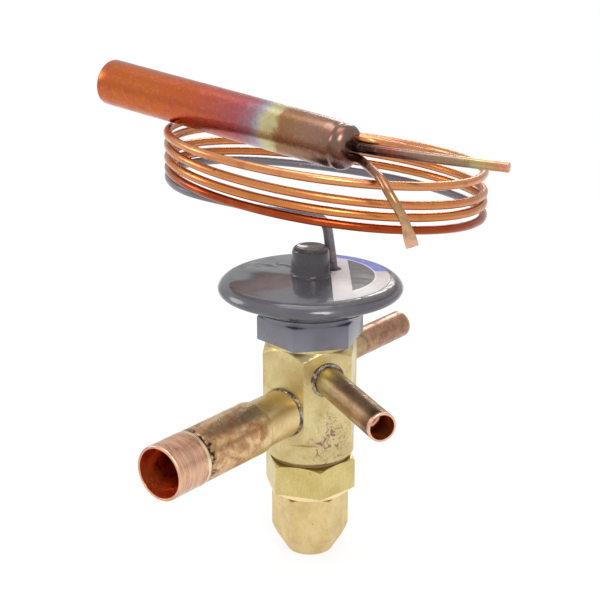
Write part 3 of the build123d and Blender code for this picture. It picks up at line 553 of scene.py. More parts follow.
@dataclass(frozen=True)
class SilverBraze(Finish):
    """Pale brazing alloy, rippled where it froze and dull where the flux burned."""

    bright: Triple = (0.4, 0.36, 0.3)
    burnt: Triple = (0.09, 0.07, 0.055)

    def draw(self, graph: Graph) -> None:
        """Draws ripples and burnt flux."""
        here = graph.place()
        ripple = graph.noise(here, 1.1, 4.0, 0.6, 0.8)
        burnt = graph.noise(here, 2.6, 4.0, 0.65)
        graph.colour(graph.over(graph.step(burnt, 0.4, 0.6), self.bright, self.burnt))
        graph.rough(graph.step(ripple, 0.3, 0.7, self.roughness - 0.08, self.roughness + 0.12))
        graph.relief(ripple, 0.25, 0.5)


@dataclass(frozen=True)
class LabelFields(Finish):
    """Bare printed label: a dark half-disc, a pale strip and a band that is part blue, part pale."""

    facing: float = -51.0
    chord: float = 5.3
    dark: Triple = (0.05, 0.044, 0.048)
    strip: Triple = (0.5, 0.46, 0.46)
    blue: Triple = (0.1, 0.14, 0.5)

    def draw(self, graph: Graph) -> None:
        """Draws the fields by distance from the valve's axis and from the label's straight edge."""
        flat = graph.place(stretch=(1.0, 1.0, 0.0))
        turn = math.radians(self.facing)
        out = graph.travel(flat, (math.cos(turn), math.sin(turn), 0.0))
        side = graph.travel(flat, (-math.sin(turn), math.cos(turn), 0.0))
        radius = graph.length(flat)
        worn = graph.noise(graph.place(), 2.2, 4.0, 0.65)
        scuff = graph.noise(graph.place(), 0.4, 3.0, 0.7)
        body = graph.over(graph.step(out, 10.35, 10.5), self.strip, self.dark)
        rim = graph.sums("MULTIPLY", graph.step(out, 10.35, 10.5), graph.step(radius, 17.0, 17.1))
        body = graph.over(rim, body, (0.62, 0.56, 0.56))
        band = graph.step(radius, 17.5, 17.6)
        turned = graph.sums("ADD", side, graph.sums("MULTIPLY", out, -0.19))
        tint = graph.over(graph.step(turned, -0.2, 0.2), self.strip, self.blue)
        body = graph.over(band, body, tint)
        body = graph.over(graph.step(worn, 0.55, 0.75, 0.0, 0.3), body, (0.55, 0.5, 0.5), Blend.DARKEN)
        body = graph.over(graph.step(scuff, 0.6, 0.8, 0.0, 0.3), body, (0.9, 0.88, 0.88), Blend.LIGHTEN)
        graph.colour(body)
        graph.rough(graph.step(worn, 0.3, 0.7, self.roughness - 0.06, self.roughness + 0.1))
        graph.relief(scuff, 0.02, 0.25)


@dataclass(frozen=True)
class TurnedSteel(Finish):
    """Machined inner part with fine tool lines round its axis."""

    metal: Triple = (0.56, 0.55, 0.53)

    def draw(self, graph: Graph) -> None:
        """Draws tool lines and a little oil."""
        lines = graph.noise(graph.place(stretch=(0.2, 0.2, 6.0)), 1.0, 3.0, 0.6)
        oil = graph.noise(graph.place(), 4.0, 3.0, 0.5)
        dull = tuple(0.6 * c for c in self.metal)
        graph.colour(graph.over(graph.step(oil, 0.4, 0.75, 0.0, 0.6), self.metal, dull))
        graph.rough(graph.step(lines, 0.3, 0.7, self.roughness - 0.05, self.roughness + 0.08))
        graph.relief(lines, 0.03, 0.3)


@dataclass(frozen=True)
class PressedSeal(Finish):
    """Soft seal, white or dark, with a faint pressed grain."""

    stuff: Triple = (0.78, 0.78, 0.75)

    def draw(self, graph: Graph) -> None:
        """Draws the grain."""
        grain = graph.noise(graph.place(), 0.5, 4.0, 0.65)
        dull = tuple(0.6 * c for c in self.stuff)
        graph.colour(graph.over(graph.step(grain, 0.4, 0.8, 0.0, 0.4), self.stuff, dull))
        graph.relief(grain, 0.05, 0.4)


@dataclass(frozen=True)
class WovenBronze(Finish):
    """Fine wire cloth of the strainer."""

    wire: Triple = (0.5, 0.32, 0.13)

    def draw(self, graph: Graph) -> None:
        """Draws the weave as crossed waves."""
        here = graph.place()
        weave = None
        for across in (Across.X, Across.Z):
            wave = graph.sums("SINE", graph.sums("MULTIPLY", graph.axis(here, across), 14.0), 0.0)
            weave = wave if weave is None else graph.sums("MULTIPLY", weave, wave)
        graph.colour(graph.over(graph.step(weave, -0.4, 0.4), (0.12, 0.07, 0.03), self.wire))
        graph.relief(weave, 0.12, 0.6)


# ------------------------------------------------------------------ making pieces
def alone(piece: bpy.types.Object) -> None:
    """Selects one object and nothing else."""
    bpy.ops.object.select_all(action="DESELECT")
    piece.select_set(True)
    bpy.context.view_layer.objects.active = piece


def dress(piece: bpy.types.Object, *materials: bpy.types.Material) -> None:
    """Gives an object its materials; the first covers it all over."""
    piece.data.materials.clear()
    for material in materials:
        piece.data.materials.append(material)


def linked(name: str, data: bpy.types.ID) -> bpy.types.Object:
    """Puts a new object in the scene and selects it alone."""
    piece = bpy.data.objects.new(name, data)
    bpy.context.scene.collection.objects.link(piece)
    alone(piece)
    return piece


def smooth(angle: float) -> None:
    """Shades the selected piece smooth across edges up to an angle in degrees."""
    bpy.ops.object.shade_smooth_by_angle(angle=math.radians(angle))


def bent_tube(
    name: str,
    route: tuple[Triple, ...],
    radius: float,
    order: int,
    rings: tuple[int, int],
    shares: tuple[float, ...] = (),
) -> bpy.types.Object:
    """Tube along a smooth curve, closed at both ends.

    Args:
        name: Name of the piece.
        route: Control points, in millimetres.
        radius: Outer radius, in millimetres.
        order: Order of the curve.
        rings: Fineness round the tube and along it.
        shares: Factors on the radius at the first points.

    Returns:
        The tube as a mesh.
    """
    curve = bpy.data.curves.new(name, "CURVE")
    curve.dimensions = "3D"
    curve.bevel_depth = radius * MM
    curve.bevel_resolution, curve.resolution_u = rings
    curve.use_fill_caps = True
    spline = curve.splines.new("NURBS")
    spline.points.add(len(route) - 1)
    for point, place in zip(spline.points, route):
        point.co = (*(c * MM for c in place), 1.0)
    for point, share in zip(spline.points, shares):
        point.radius = share
    spline.order_u = order
    spline.use_endpoint_u = True
    linked(name, curve)
    bpy.ops.object.convert(target="MESH")
    return bpy.context.view_layer.objects.active


def turned_solid(
    name: str, outline: list[Vector], steps: int, centre: Vector, axis: Vector
) -> bpy.types.Object:
    """Solid turned about an axis.

    Args:
        name: Name of the piece.
        outline: Half outline, in metres.
        steps: Facets round the axis.
        centre: Point on the axis, in metres.
        axis: Direction of the axis.

    Returns:
        The new piece.
    """
    mesh = bpy.data.meshes.new(name)
    made = bmesh.new()
    points = [made.verts.new(place) for place in outline]
    for before, after in zip(points, points[1:]):
        made.edges.new((before, after))
    made.to_mesh(mesh)
    made.free()
    piece = linked(name, mesh)
    bpy.ops.object.mode_set(mode="EDIT")
    bpy.ops.mesh.select_all(action="SELECT")
    bpy.ops.mesh.spin(steps=steps, angle=FULL_TURN, center=centre, axis=axis)
    bpy.ops.mesh.select_all(action="SELECT")
    bpy.ops.mesh.remove_doubles(threshold=WELD)
    bpy.ops.mesh.normals_make_consistent(inside=False)
    bpy.ops.object.mode_set(mode="OBJECT")
    return piece


def told(piece: bpy.types.Object) -> bpy.types.Object:
    """Logs the size of a finished piece and passes it on."""
    LOG.info("%s: %d faces", piece.name, len(piece.data.polygons))
    return piece


def pick_faces(piece: bpy.types.Object, wanted: Callable[[bmesh.types.BMFace], bool]) -> None:
    """Selects the faces that pass a test, in edit mode."""
    bpy.ops.mesh.select_all(action="DESELECT")
    edit = bmesh.from_edit_mesh(piece.data)
    for face in edit.faces:
        face.select_set(wanted(face))
    bmesh.update_edit_mesh(piece.data)


@dataclass
class Eased:
    """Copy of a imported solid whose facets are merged, with eased edges and smooth shading."""

    node: str
    finish: Finish
    edge: float = 0.2
    smooth_angle: float = 34.0

    def build(self) -> bpy.types.Object:
        """Makes the copy, which stands for the node.

        Returns:
            The new piece, riding on the node's body.
        """
        source = frame["nodes"][self.node]
        piece = linked(self.node + "_eased", source.data.copy())
        bpy.ops.object.mode_set(mode="EDIT")
        bpy.ops.mesh.select_all(action="SELECT")
        bpy.ops.mesh.remove_doubles(threshold=FACET_WELD)
        bpy.ops.mesh.dissolve_limited(angle_limit=math.radians(FLAT_DEGREES))
        bpy.ops.object.mode_set(mode="OBJECT")
        if self.edge > 0:
            ease = piece.modifiers.new("ease", "BEVEL")
            ease.width = self.edge * MM
            ease.segments = 2
            ease.limit_method = "ANGLE"
            ease.angle_limit = math.radians(self.smooth_angle)
            ease.use_clamp_overlap = True
            ease.harden_normals = False
            bpy.ops.object.modifier_apply(modifier="ease")
        smooth(self.smooth_angle)
        even = piece.modifiers.new("even", "WEIGHTED_NORMAL")
        even.keep_sharp = True
        bpy.ops.object.modifier_apply(modifier="even")
        dress(piece, finishes[self.finish.name])
        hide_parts(self.node)
        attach(piece, body_of_node(self.node))
        slot_of_node(self.node)
        LOG.info("%s: %d faces, finish %s", piece.name, len(piece.data.polygons), self.finish.name)
        return piece


def body_of_node(node: str) -> str:
    """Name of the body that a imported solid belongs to."""
    for body, members in frame["record"]["behaviour"]["bodies"].items():
        if node in members:
            return body
    return "root"


def slot_of_node(node: str) -> str:
    """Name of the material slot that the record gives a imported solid."""
    return next(part["material_slot"] for part in frame["record"]["subparts"] if part["node"] == node)


@dataclass
class Assembly:
    """Solids that are joined in one unit, each with its finish and the size of its eased edges."""

    title: str
    solids: list[Eased] = field(default_factory=list)

    def build(self) -> None:
        """Builds every solid of the unit."""
        for solid in self.solids:
            solid.build()
        LOG.info("%s: %d solids", self.title, len(self.solids))


@dataclass
class Capillary:
    """Thin tube: up from the element, round the coil and across to the bulb, lengths in millimetres."""

    radius: float = 1.15
    centre: Pair = (18.5, 8.8)
    coil_r: float = 42.8
    base: float = 96.0
    lean: float = 6.7
    lean_angle: float = 148.0
    start_angle: float = 218.0
    first_turn: float = 0.16
    last_turn: float = 4.34
    per_turn: int = 22
    painted_to: float = 0.7
    thickened: tuple[float, ...] = (1.3, 1.28, 1.22, 1.18, 1.14, 1.1, 1.06, 1.03)
    heights: tuple[Pair, ...] = COIL_HEIGHTS
    riser: tuple[Triple, ...] = RISER
    tail: tuple[Triple, ...] = TAIL

    def height(self, turn: float) -> float:
        """Height of the coil's middle line above its base."""
        for (t0, z0), (t1, z1) in zip(self.heights, self.heights[1:]):
            if t0 <= turn <= t1:
                return z0 + (z1 - z0) * (turn - t0) / (t1 - t0)
        return self.heights[-1][1]

    def hoop(self, turn: float) -> Triple:
        """Control point of the coil at a number of turns, a little outside the tube's own circle."""
        angle = math.radians(self.start_angle - 360.0 * turn)
        outside = self.coil_r * 3.0 / (2.0 + math.cos(FULL_TURN / self.per_turn))
        lean = self.lean * math.cos(angle - math.radians(self.lean_angle))
        return (
            self.centre[0] + outside * math.cos(angle),
            self.centre[1] + outside * math.sin(angle),
            self.base + self.height(turn) + lean,
        )

    def build(self) -> bpy.types.Object:
        """Makes the tube from one smooth curve.

        Returns:
            The tube as a mesh.
        """
        span = self.last_turn - self.first_turn
        steps = round(span * self.per_turn)
        turns = [self.hoop(self.first_turn + span * i / steps) for i in range(steps + 1)]
        route = (*self.riser, *turns, *self.tail)
        piece = bent_tube("capillary_drawn", route, self.radius, 4, (5, 6), self.thickened)
        smooth(40.0)
        dress(piece, finishes["capillary_copper"], finishes["painted_foot"])
        stored = piece.data.attributes.new("turn", "FLOAT", "POINT")
        total = len(piece.data.vertices)
        for vertex in piece.data.vertices:
            place = vertex.index / total * len(route) - len(self.riser)
            stored.data[vertex.index].value = self.first_turn + place / self.per_turn
        for face in piece.data.polygons:
            face.material_index = int(stored.data[face.vertices[0]].value < self.painted_to)
        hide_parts("capillary_tube")
        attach(piece, "root")
        return told(piece)


@dataclass
class ChargingTube:
    """Straight stiff tube that the bulb was filled through, cut off square, in millimetres."""

    radius: float = 1.3
    route: tuple[Triple, ...] = (
        (0.83, -10.9, 116.17), (1.03, -15.27, 115.7), (4.86, -32.38, 115.24), (9.1, -53.3, 115.0),
    )
    wall: float = 0.5
    sunk: float = 2.0

    def build(self) -> bpy.types.Object:
        """Draws the tube and sinks its cut end.

        Returns:
            The tube as a mesh.
        """
        piece = bent_tube("charging_drawn", self.route, self.radius, 3, (6, 12))
        bpy.ops.object.mode_set(mode="EDIT")
        bpy.ops.mesh.select_all(action="SELECT")
        bpy.ops.mesh.remove_doubles(threshold=WELD)
        pick_faces(piece, lambda face: len(face.verts) > 6 and face.calc_center_median().y < -0.04)
        bpy.ops.mesh.inset(thickness=self.wall * MM, depth=0.0)
        bpy.ops.mesh.inset(thickness=0.02 * MM, depth=-self.sunk * MM)
        bpy.ops.object.mode_set(mode="OBJECT")
        smooth(40.0)
        dress(piece, finishes["charge_copper"])
        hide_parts("charging_tube")
        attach(piece, "root")
        return told(piece)


@dataclass
class Bulb:
    """Sensing bulb: closed copper cylinder with a rolled crease and dented end, in millimetres."""

    tip: Triple = (-3.7, 67.7, 124.2)
    neck: Triple = (0.0, -12.5, 115.7)
    radius: float = 6.35
    crease: float = 3.4
    rolled_end: tuple[Pair, ...] = (
        (-1.9, 0.06), (-1.0, 0.25), (-0.4, 0.46), (0.0, 0.52), (0.4, 0.42), (0.9, 0.22), (1.5, 0.17),
        (2.2, 0.3), (2.9, 0.62), (3.5, 1.1), (3.95, 1.65), (4.2, 2.4),
    )

    def profile(self) -> list[Pair]:
        """Half outline as distance along the bulb and radius."""
        length = (Vector(self.neck) - Vector(self.tip)).length
        c = length - self.crease
        r = self.radius
        outline = [(0.0, 0.0), (0.0, r * 0.5), (0.0, r - 1.0), (0.12, r - 0.5), (0.4, r - 0.18), (0.9, r)]
        outline += [(0.9 + (c - 4.0) * i / 26.0, r) for i in range(1, 27)]
        outline += [(c + past, r - below) for past, below in self.rolled_end]
        return [*outline, (c + 4.2, r * 0.4), (c + 4.2, 0.0)]

    def build(self) -> bpy.types.Object:
        """Spins the outline and presses the dents.

        Returns:
            The bulb.
        """
        tip, neck = Vector(self.tip), Vector(self.neck)
        along = (neck - tip).normalized()
        up = (Vector((0, 0, 1)) - along * along.z).normalized()
        across = up.cross(along).normalized()
        outline = [(tip + along * s + up * r) * MM for s, r in self.profile()]
        piece = turned_solid("bulb_spun", outline, 72, tip * MM, along)
        length = (neck - tip).length
        for vertex in piece.data.vertices:
            place = vertex.co / MM - tip
            s = place.dot(along)
            side, high = place.dot(across), place.dot(up)
            angle = math.atan2(high, side)
            radius = math.hypot(side, high)
            if radius < 0.01:
                continue
            near = math.exp(-(((s - (length - 2.2)) / 2.2) ** 2))
            dent = near * (0.2 * math.sin(3 * angle + 0.7) + 0.1 * math.sin(5 * angle + 2.0) - 0.1)
            flat = 0.03 * math.sin(2 * angle + 0.12 * s) * math.exp(-(((s - 40.0) / 22.0) ** 2))
            scale = (radius + min(dent, 0.0) + flat - 0.05) / radius
            vertex.co = (tip + along * s + across * side * scale + up * high * scale) * MM
        smooth(50.0)
        dress(piece, finishes["bulb_copper"])
        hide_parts("sensing_bulb")
        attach(piece, "root")
        return told(piece)


@dataclass
class Spun:
    """Solid turned about the valve's axis from a closed outline of radius and height, in millimetres."""

    name: str
    finish: Finish
    outline: tuple[Pair, ...]
    stands_for: str = ""
    steps: int = 72

    def build(self) -> bpy.types.Object:
        """Spins the outline.

        Returns:
            The new piece.
        """
        outline = [Vector((r, 0.0, z)) * MM for r, z in self.outline]
        piece = turned_solid(self.name, outline, self.steps, Vector((0, 0, 0)), Vector((0, 0, 1)))
        smooth(45.0)
        dress(piece, finishes[self.finish.name])
        if self.stands_for:
            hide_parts(self.stands_for)
        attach(piece, "root")
        return told(piece)


@dataclass
class PaintLobe:
    """Lump of painted solder between the boss and the foot of the thin tube, in millimetres and degrees."""

    centre: Triple = (5.6, -2.0, 81.0)
    half_sizes: Triple = (2.0, 1.45, 2.3)
    turn: float = -20.0
    tip_over: float = -22.0
    spread: float = 0.35

    def build(self) -> bpy.types.Object:
        """Shapes the lump from a sphere, drawn out towards the boss.

        Returns:
            The lump.
        """
        bpy.ops.object.select_all(action="DESELECT")
        bpy.ops.mesh.primitive_uv_sphere_add(
            segments=32,
            ring_count=20,
            radius=MM,
            location=tuple(c * MM for c in self.centre),
            rotation=(0.0, math.radians(self.tip_over), math.radians(self.turn)),
            scale=self.half_sizes,
        )
        piece = bpy.context.view_layer.objects.active
        piece.name = "foot_lobe"
        bpy.ops.object.transform_apply(location=True, rotation=True, scale=True)
        for vertex in piece.data.vertices:
            low = max(0.0, (self.centre[2] - vertex.co.z / MM) / self.half_sizes[2])
            vertex.co.x += self.spread * low * (vertex.co.x - self.centre[0] * MM)
            vertex.co.y += self.spread * low * (vertex.co.y - self.centre[1] * MM)
        smooth(60.0)
        dress(piece, finishes["boss_enamel"])
        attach(piece, "root")
        return told(piece)


@dataclass
class HexNut:
    """Six-sided collar with a bore and eased corners, in millimetres and degrees."""

    across_flats: float = 25.4
    turn: float = 50.25
    bottom: float = 62.7
    top: float = 69.25
    wall: float = 3.1
    ease: float = 0.3

    def build(self) -> bpy.types.Object:
        """Shapes the collar from a six-sided prism.

        Returns:
            The collar.
        """
        corner_r = self.across_flats / math.sqrt(3.0)
        bpy.ops.object.select_all(action="DESELECT")
        bpy.ops.mesh.primitive_cylinder_add(
            vertices=6,
            radius=corner_r * MM,
            depth=(self.top - self.bottom) * MM,
            location=(0.0, 0.0, (self.top + self.bottom) / 2.0 * MM),
            rotation=(0.0, 0.0, math.radians(self.turn)),
        )
        piece = bpy.context.view_layer.objects.active
        piece.name = "hex_collar_milled"
        bpy.ops.object.transform_apply(location=True, rotation=True, scale=True)
        bpy.ops.object.mode_set(mode="EDIT")
        bpy.ops.mesh.select_mode(type="FACE")
        pick_faces(piece, lambda face: abs(face.normal.z) > 0.9)
        bpy.ops.mesh.inset(thickness=self.wall * MM, depth=0.0)
        bpy.ops.mesh.bridge_edge_loops()
        bpy.ops.mesh.select_all(action="SELECT")
        bpy.ops.mesh.normals_make_consistent(inside=False)
        bpy.ops.object.mode_set(mode="OBJECT")
        ease = piece.modifiers.new("ease", "BEVEL")
        ease.width = self.ease * MM
        ease.segments = 3
        ease.limit_method = "ANGLE"
        bpy.ops.object.modifier_apply(modifier="ease")
        smooth(34.0)
        dress(piece, finishes["hex_enamel"])
        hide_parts("hex_collar")
        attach(piece, "root")
        return told(piece)


@dataclass
class Crowned(Eased):
    """Eased solid whose flat top swells gently towards the valve's axis, in millimetres."""

    rise: float = 1.2
    top_r: float = 21.2
    top_z: float = 79.05
    cut_top: bool = True
    pitch: float = 2.0
    shift: float = 0.03
    braze_r: float = 6.9

    def lift(self, radius: float) -> float:
        """Height that the top gains at a distance from the axis."""
        return self.rise * max(0.0, 1.0 - (radius / self.top_r) ** 2)

    def build(self) -> bpy.types.Object:
        """Cuts the top into a grid and lifts it.

        Returns:
            The new piece.
        """
        piece = super().build()
        alone(piece)
        if self.cut_top:
            bpy.ops.object.mode_set(mode="EDIT")
            bpy.ops.mesh.select_mode(type="FACE")
            for normal in ((1.0, 0.0, 0.0), (0.0, 1.0, 0.0)):
                for i in range(-10, 11):
                    pick_faces(piece, lambda face: min(v.co.z for v in face.verts) > self.top_z * MM)
                    offset = (self.pitch * i + self.shift) * MM
                    bpy.ops.mesh.bisect(plane_co=(offset, offset, 0.0), plane_no=normal)
            bpy.ops.object.mode_set(mode="OBJECT")
        for vertex in piece.data.vertices:
            if vertex.co.z > self.top_z * MM or not self.cut_top:
                middle = math.hypot(vertex.co.x, vertex.co.y) / MM if self.cut_top else self.braze_r
                vertex.co.z += self.lift(middle) * MM
        smooth(self.smooth_angle)
        return piece


# ------------------------------------------------------------------ studio
@dataclass
class Studio:
    """White surroundings, soft lamps and the camera."""

    camera_at: Triple = (-0.30283, -0.23177, 0.20098)
    camera_back: Triple = (-0.7484, -0.5815, 0.3189)
    lens: float = 90.627
    aim_at: Triple = (0.01, 0.01, 0.06)
    sky_lean: Triple = (-0.35, -0.25, 0.9)
    sky_levels: tuple[Pair, ...] = ((0.0, 0.6), (0.35, 0.66), (0.5, 0.86), (0.75, 1.0), (1.0, 1.0))
    floor_r: float = 6.0
    floor_z: float = -0.00002
    lamps: tuple[tuple[str, Triple, float, float], ...] = (
        ("key_softbox", (-0.55, -0.75, 0.95), 0.5, 6.5),
        ("top_softbox", (0.1, 0.1, 1.2), 0.8, 4.5),
        ("side_softbox", (-0.35, 0.95, 0.5), 0.45, 2.0),
        ("rear_softbox", (0.95, 0.45, 0.52), 0.32, 1.7),
    )

    def camera(self) -> None:
        """Places the camera."""
        back = Vector(self.camera_back).normalized()
        right = Vector((0, 0, 1)).cross(back).normalized()
        up = back.cross(right)
        data = bpy.data.cameras.new("camera")
        data.lens = self.lens
        data.sensor_width = 36.0
        data.sensor_fit = "HORIZONTAL"
        data.clip_start = 0.01
        camera = linked("camera", data)
        turned = Matrix((right, up, back)).transposed().to_4x4()
        turned.translation = Vector(self.camera_at)
        camera.matrix_world = turned
        bpy.context.scene.camera = camera

    def surroundings(self) -> None:
        """Lights the object from a pale sky that the camera sees as white."""
        world = bpy.data.worlds.new("studio")
        bpy.context.scene.world = world
        world.use_nodes = True
        sky = Wiring(world.node_tree)
        lean = sky.travel(sky.node("TexCoord").outputs["Generated"], self.sky_lean)
        spread = sky.node("MapRange", {"Value": lean, "From Min": -1.0}).outputs["Result"]
        pale = sky.ramp(spread, [(place, (level,) * 3) for place, level in self.sky_levels])
        inputs = {
            "Fac": sky.node("LightPath").outputs["Is Camera Ray"],
            1: sky.node("Background", {"Color": pale}).outputs["Background"],
            2: sky.node("Background", {"Color": (1.0, 1.0, 1.0)}).outputs["Background"],
        }
        sky.node("OutputWorld", {"Surface": sky.node("MixShader", inputs).outputs["Shader"]})

    def floor(self) -> None:
        """Lays a pale floor that keeps the shadow near the object and fades to white."""
        bpy.ops.object.select_all(action="DESELECT")
        bpy.ops.mesh.primitive_circle_add(
            vertices=96, radius=self.floor_r, fill_type="NGON", location=(0.0, 0.0, self.floor_z)
        )
        plate = bpy.context.view_layer.objects.active
        plate.name = "floor"
        material = bpy.data.materials.new("pale_floor")
        material.use_nodes = True
        ground = Wiring(material.node_tree)
        away = ground.length(ground.node("TexCoord").outputs["Object"])
        path = ground.node("LightPath")
        mirrored = ground.sums("MULTIPLY", path.outputs["Is Glossy Ray"], 0.7)
        seen = ground.sums("MAXIMUM", path.outputs["Is Camera Ray"], mirrored)
        inputs = {
            "Fac": ground.sums("MULTIPLY", ground.step(away, 0.1, 0.5, 0.8, 1.0), seen),
            1: ground.node("BsdfDiffuse", {"Color": (0.9, 0.9, 0.9)}).outputs["BSDF"],
            2: ground.node("Emission").outputs["Emission"],
        }
        ground.node("OutputMaterial", {"Surface": ground.node("MixShader", inputs).outputs["Shader"]})
        dress(plate, material)

    def lights(self) -> None:
        """Hangs the soft lamps, all aimed at the valve."""
        target = Vector(self.aim_at)
        for name, place, size, watts in self.lamps:
            data = bpy.data.lights.new(name, "AREA")
            data.shape = "DISK"
            data.size = size
            data.energy = watts
            lamp = linked(name, data)
            aim = (Vector(place) - target).to_track_quat("Z", "Y")
            lamp.matrix_world = Matrix.Translation(Vector(place)) @ aim.to_matrix().to_4x4()

    def build(self) -> None:
        """Sets up everything round the valve."""
        bpy.context.scene.view_settings.view_transform = "Standard"
        self.camera()
        self.surroundings()
        self.floor()
        self.lights()


# ------------------------------------------------------------------ the valve
BOSS_OUTLINE = (
    (0.0, 79.2), (5.9, 79.2), (5.95, 80.05), (5.6, 80.25), (5.36, 80.6), (5.26, 81.1), (5.14, 83.0),
    (5.05, 85.0), (4.98, 86.0), (4.8, 86.7), (4.45, 87.3), (4.0, 87.62), (3.6, 87.7), (3.3, 87.62),
    (3.05, 87.45), (0.0, 87.4),
)
BEAD_OUTLINE = (
    (11.6, 69.2), (12.55, 68.75), (13.1, 69.15), (13.9, 69.9), (15.0, 70.75), (16.4, 71.75), (16.0, 71.9),
    (11.6, 69.4), (11.6, 69.2),
)
BODY_METAL = DrawnBrass(
    "body_brass", 1.0, 0.36, clean=(0.6, 0.5, 0.24), aged=(0.5, 0.38, 0.16), stained=0.85,
    stain_at=(-5.5, -12.0, 36.0), stain_size=7.0,
)
TURNED_BRASS = DrawnBrass("turned_brass", 1.0, 0.27, clean=(0.64, 0.52, 0.22), aged=(0.55, 0.4, 0.14))
NUT_BRASS = DrawnBrass(
    "nut_brass", 1.0, 0.3, clean=(0.6, 0.48, 0.18), aged=(0.52, 0.4, 0.13), faced_below=19.9,
)
STUB_BRASS = DrawnBrass("bright_brass", 1.0, 0.34, clean=(0.7, 0.54, 0.26), aged=(0.62, 0.45, 0.19))
CAP_BRASS = ForgedBrass("forged_brass", 1.0, 0.42)
OUTLET_COPPER = AgedCopper(
    "oxidised_copper", 1.0, 0.3, fresh=(0.7, 0.48, 0.26), brown=(0.36, 0.18, 0.075), along=(-1.0, 0.0, 0.0),
    mouth=(0.72, 0.42, 0.29), mouth_start=50.0, mouth_end=52.0, bore_r=6.4, bore_at=(0.0, 0.0, 44.2),
    near=(0.66, 0.5, 0.26), near_end=33.0, notch=48.2, stop_at=48.2, patch=3.6, spots=0.95, orange=0.6,
)
# Bores of the small tubes, with their painted bounced light, darker than in the outlet.
SMALL_BORE = {
    "bore_r": 3.2, "bore_at": (0.0, 0.0, 54.1), "bore_lip_glow": (0.7, 0.3, 0.14), "bore_deep_glow": (0.5, 0.14, 0.05),
}
INLET_COPPER = AgedCopper(
    "inlet_copper", 1.0, 0.32, near=(0.42, 0.31, 0.16), fresh=(0.36, 0.2, 0.12), brown=(0.25, 0.12, 0.075),
    along=(1.0, 0.0, 0.0), mouth_start=41.6, mouth_end=42.3, near_end=26.0, stop_at=34.5, orange=0.2,
    **SMALL_BORE,
)
EQUALISER_COPPER = AgedCopper(
    "equaliser_copper", 1.0, 0.34, near=(0.44, 0.34, 0.17), fresh=(0.4, 0.26, 0.13), brown=(0.28, 0.16, 0.08),
    along=(-0.5, -0.8660254, 0.0), mouth_start=44.6, mouth_end=45.3, soot_start=39.0, soot_end=45.5,
    near_end=29.0, stop_at=37.6, orange=0.15, **SMALL_BORE,
)
BRAZE = SilverBraze("braze_alloy", 1.0, 0.3)
ENAMEL = GreyEnamel("grey_enamel", 0.0, 0.16, 0.25)
HEX_ENAMEL = GreyEnamel("hex_enamel", 0.0, 0.3, 0.2, paint=(0.12, 0.12, 0.15), dust=(0.18, 0.18, 0.22))
BOSS_ENAMEL = GreyEnamel("boss_enamel", 0.0, 0.22, 0.2, paint=(0.035, 0.031, 0.038), dust=(0.06, 0.052, 0.06))
LABEL = LabelFields("label", 0.0, 0.4, 0.08)
BULB_TINT = HeatTint(
    "bulb_copper", 1.0, 0.26, start=(-3.7, 67.7, 124.2), along=(0.0458, -0.9934, -0.1053),
    reach=82.0, wander=1.3,
    stops=(
        (0.0, (0.46, 0.11, 0.03)), (0.2, (0.47, 0.115, 0.028)), (0.4, (0.46, 0.1, 0.035)),
        (0.5, (0.42, 0.09, 0.06)), (0.6, (0.36, 0.09, 0.1)), (0.645, (0.3, 0.16, 0.2)),
        (0.68, (0.34, 0.32, 0.36)), (0.705, (0.5, 0.46, 0.24)), (0.735, (0.46, 0.4, 0.2)),
        (0.755, (0.26, 0.13, 0.055)), (0.88, (0.27, 0.15, 0.1)), (1.0, (0.15, 0.09, 0.075)),
    ),
    mottle=(0.33, 0.07, 0.07),
)
CHARGE_TINT = HeatTint(
    "charge_copper", 1.0, 0.26, start=(2.0, -12.0, 116.0), along=(0.17, -0.985, -0.02),
    reach=42.0, wander=1.0,
    stops=(
        (0.0, (0.02, 0.012, 0.01)), (0.14, (0.04, 0.02, 0.015)), (0.26, (0.2, 0.06, 0.04)),
        (0.45, (0.24, 0.16, 0.12)), (0.68, (0.3, 0.2, 0.12)), (0.82, (0.4, 0.34, 0.15)),
        (0.93, (0.5, 0.22, 0.11)), (1.0, (0.56, 0.27, 0.17)),
    ),
)
PINCH_TINT = HeatTint(
    "pinched_copper", 1.0, 0.26, start=(0.0, -12.0, 114.0), along=(-0.38, -0.72, -0.58),
    reach=34.0, wander=1.0,
    stops=(
        (0.0, (0.05, 0.025, 0.02)), (0.16, (0.16, 0.06, 0.035)), (0.4, (0.3, 0.13, 0.065)),
        (0.7, (0.36, 0.17, 0.08)), (0.88, (0.5, 0.3, 0.15)), (0.95, (0.66, 0.38, 0.26)),
        (1.0, (0.7, 0.42, 0.3)),
    ),
)
CAPILLARY_METAL = CoiledCopper("capillary_copper", 1.0, 0.25)
FOOT_PAINT = PaintedFoot("painted_foot", 0.2, 0.3)
STEEL = TurnedSteel("stainless_steel", 1.0, 0.28)
SPRING_METAL = TurnedSteel("spring_steel", 1.0, 0.25, metal=(0.42, 0.42, 0.43))
WHITE_SEAL = PressedSeal("ptfe_packing", 0.0, 0.5)
DARK_SEAL = PressedSeal("gasket", 0.0, 0.7, stuff=(0.2, 0.12, 0.035))
STRAINER = WovenBronze("bronze_mesh", 1.0, 0.4)
ALL_FINISHES = (
    BODY_METAL, TURNED_BRASS, NUT_BRASS, STUB_BRASS, CAP_BRASS, OUTLET_COPPER, INLET_COPPER,
    EQUALISER_COPPER, BRAZE, ENAMEL, HEX_ENAMEL, BOSS_ENAMEL, LABEL, BULB_TINT, CHARGE_TINT, PINCH_TINT,
    CAPILLARY_METAL, FOOT_PAINT, STEEL, SPRING_METAL, WHITE_SEAL, DARK_SEAL, STRAINER,
)
finishes: dict[str, bpy.types.Material] = {}


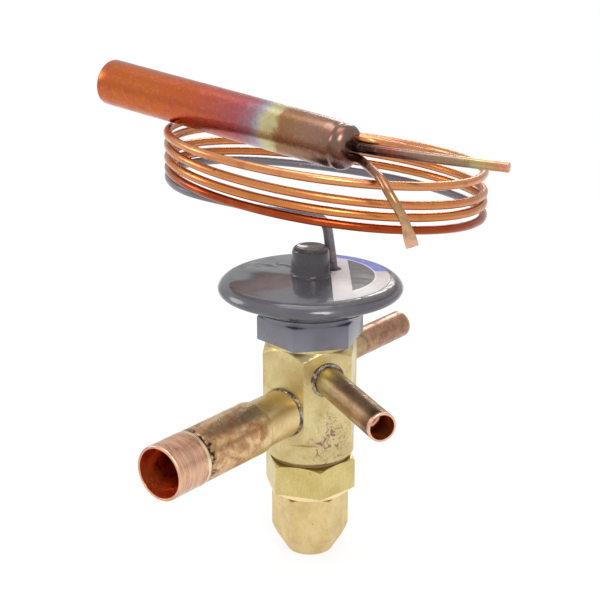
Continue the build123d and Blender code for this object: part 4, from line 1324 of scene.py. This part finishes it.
def assemblies() -> list[Assembly]:
    """Lists the units of the valve from the foot upwards."""
    return [
        Assembly("adjusting end", [
            Eased("seal_cap", CAP_BRASS, 0.45), Eased("bottom_cap", NUT_BRASS, 0.25),
            Eased("stem_packing", WHITE_SEAL, 0.1), Eased("packing_follower", TURNED_BRASS, 0.1),
            Eased("cap_gasket", DARK_SEAL, 0.1), Eased("adjusting_stem", STEEL, 0.15),
            Eased("spring_guide", TURNED_BRASS, 0.15),
        ]),
        Assembly("body", [
            Eased("valve_body", BODY_METAL, 0.3), Eased("rod_packing", WHITE_SEAL, 0.1),
            Eased("port_seat", STEEL, 0.08), Eased("pin_carrier", TURNED_BRASS, 0.12),
            Eased("valve_pin", STEEL, 0.05), Eased("push_rods", STEEL, 0.08),
            Eased("buffer_plate", STEEL, 0.12),
        ]),
        Assembly("ports", [
            Eased("outlet_stub", STUB_BRASS, 0.12), Eased("outlet_tube", OUTLET_COPPER, 0.15),
            Eased("inlet_tube", INLET_COPPER, 0.12), Eased("equaliser_tube", EQUALISER_COPPER, 0.12),
            Eased("outlet_braze_ring", BRAZE, 0.0, 60.0), Eased("inlet_braze_ring", BRAZE, 0.0, 60.0),
            Eased("equaliser_braze_ring", BRAZE, 0.0, 60.0), Eased("inlet_strainer", STRAINER, 0.0),
        ]),
        Assembly("element", [
            Eased("lower_housing", ENAMEL, 0.15),
            Crowned("upper_housing", ENAMEL, 0.15), Eased("diaphragm", STEEL, 0.0),
            Crowned("label_plate", LABEL, 0.0, top_z=79.0),
            Crowned("capillary_braze", BOSS_ENAMEL, 0.0, 60.0, cut_top=False),
        ]),
        Assembly("bulb tubes", [
            Eased("pinched_tube", PINCH_TINT, 0.05, 50.0),
        ]),
    ]


def main() -> None:
    """Builds the studio, the finishes and every piece of the valve."""
    logging.basicConfig(level=logging.INFO, format="%(message)s")
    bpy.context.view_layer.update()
    Studio().build()
    for finish in ALL_FINISHES:
        finishes[finish.name] = finish.build()
    Capillary().build()
    Bulb().build()
    ChargingTube().build()
    Spun("boss_drum", BOSS_ENAMEL, BOSS_OUTLINE, "charging_boss").build()
    HexNut().build()
    PaintLobe().build()
    Spun("paint_bead", HEX_ENAMEL, BEAD_OUTLINE).build()
    for assembly in assemblies():
        assembly.build()
    dress(frame["nodes"]["superheat_spring"], finishes["spring_steel"])


if __name__ == "__main__":
    main()
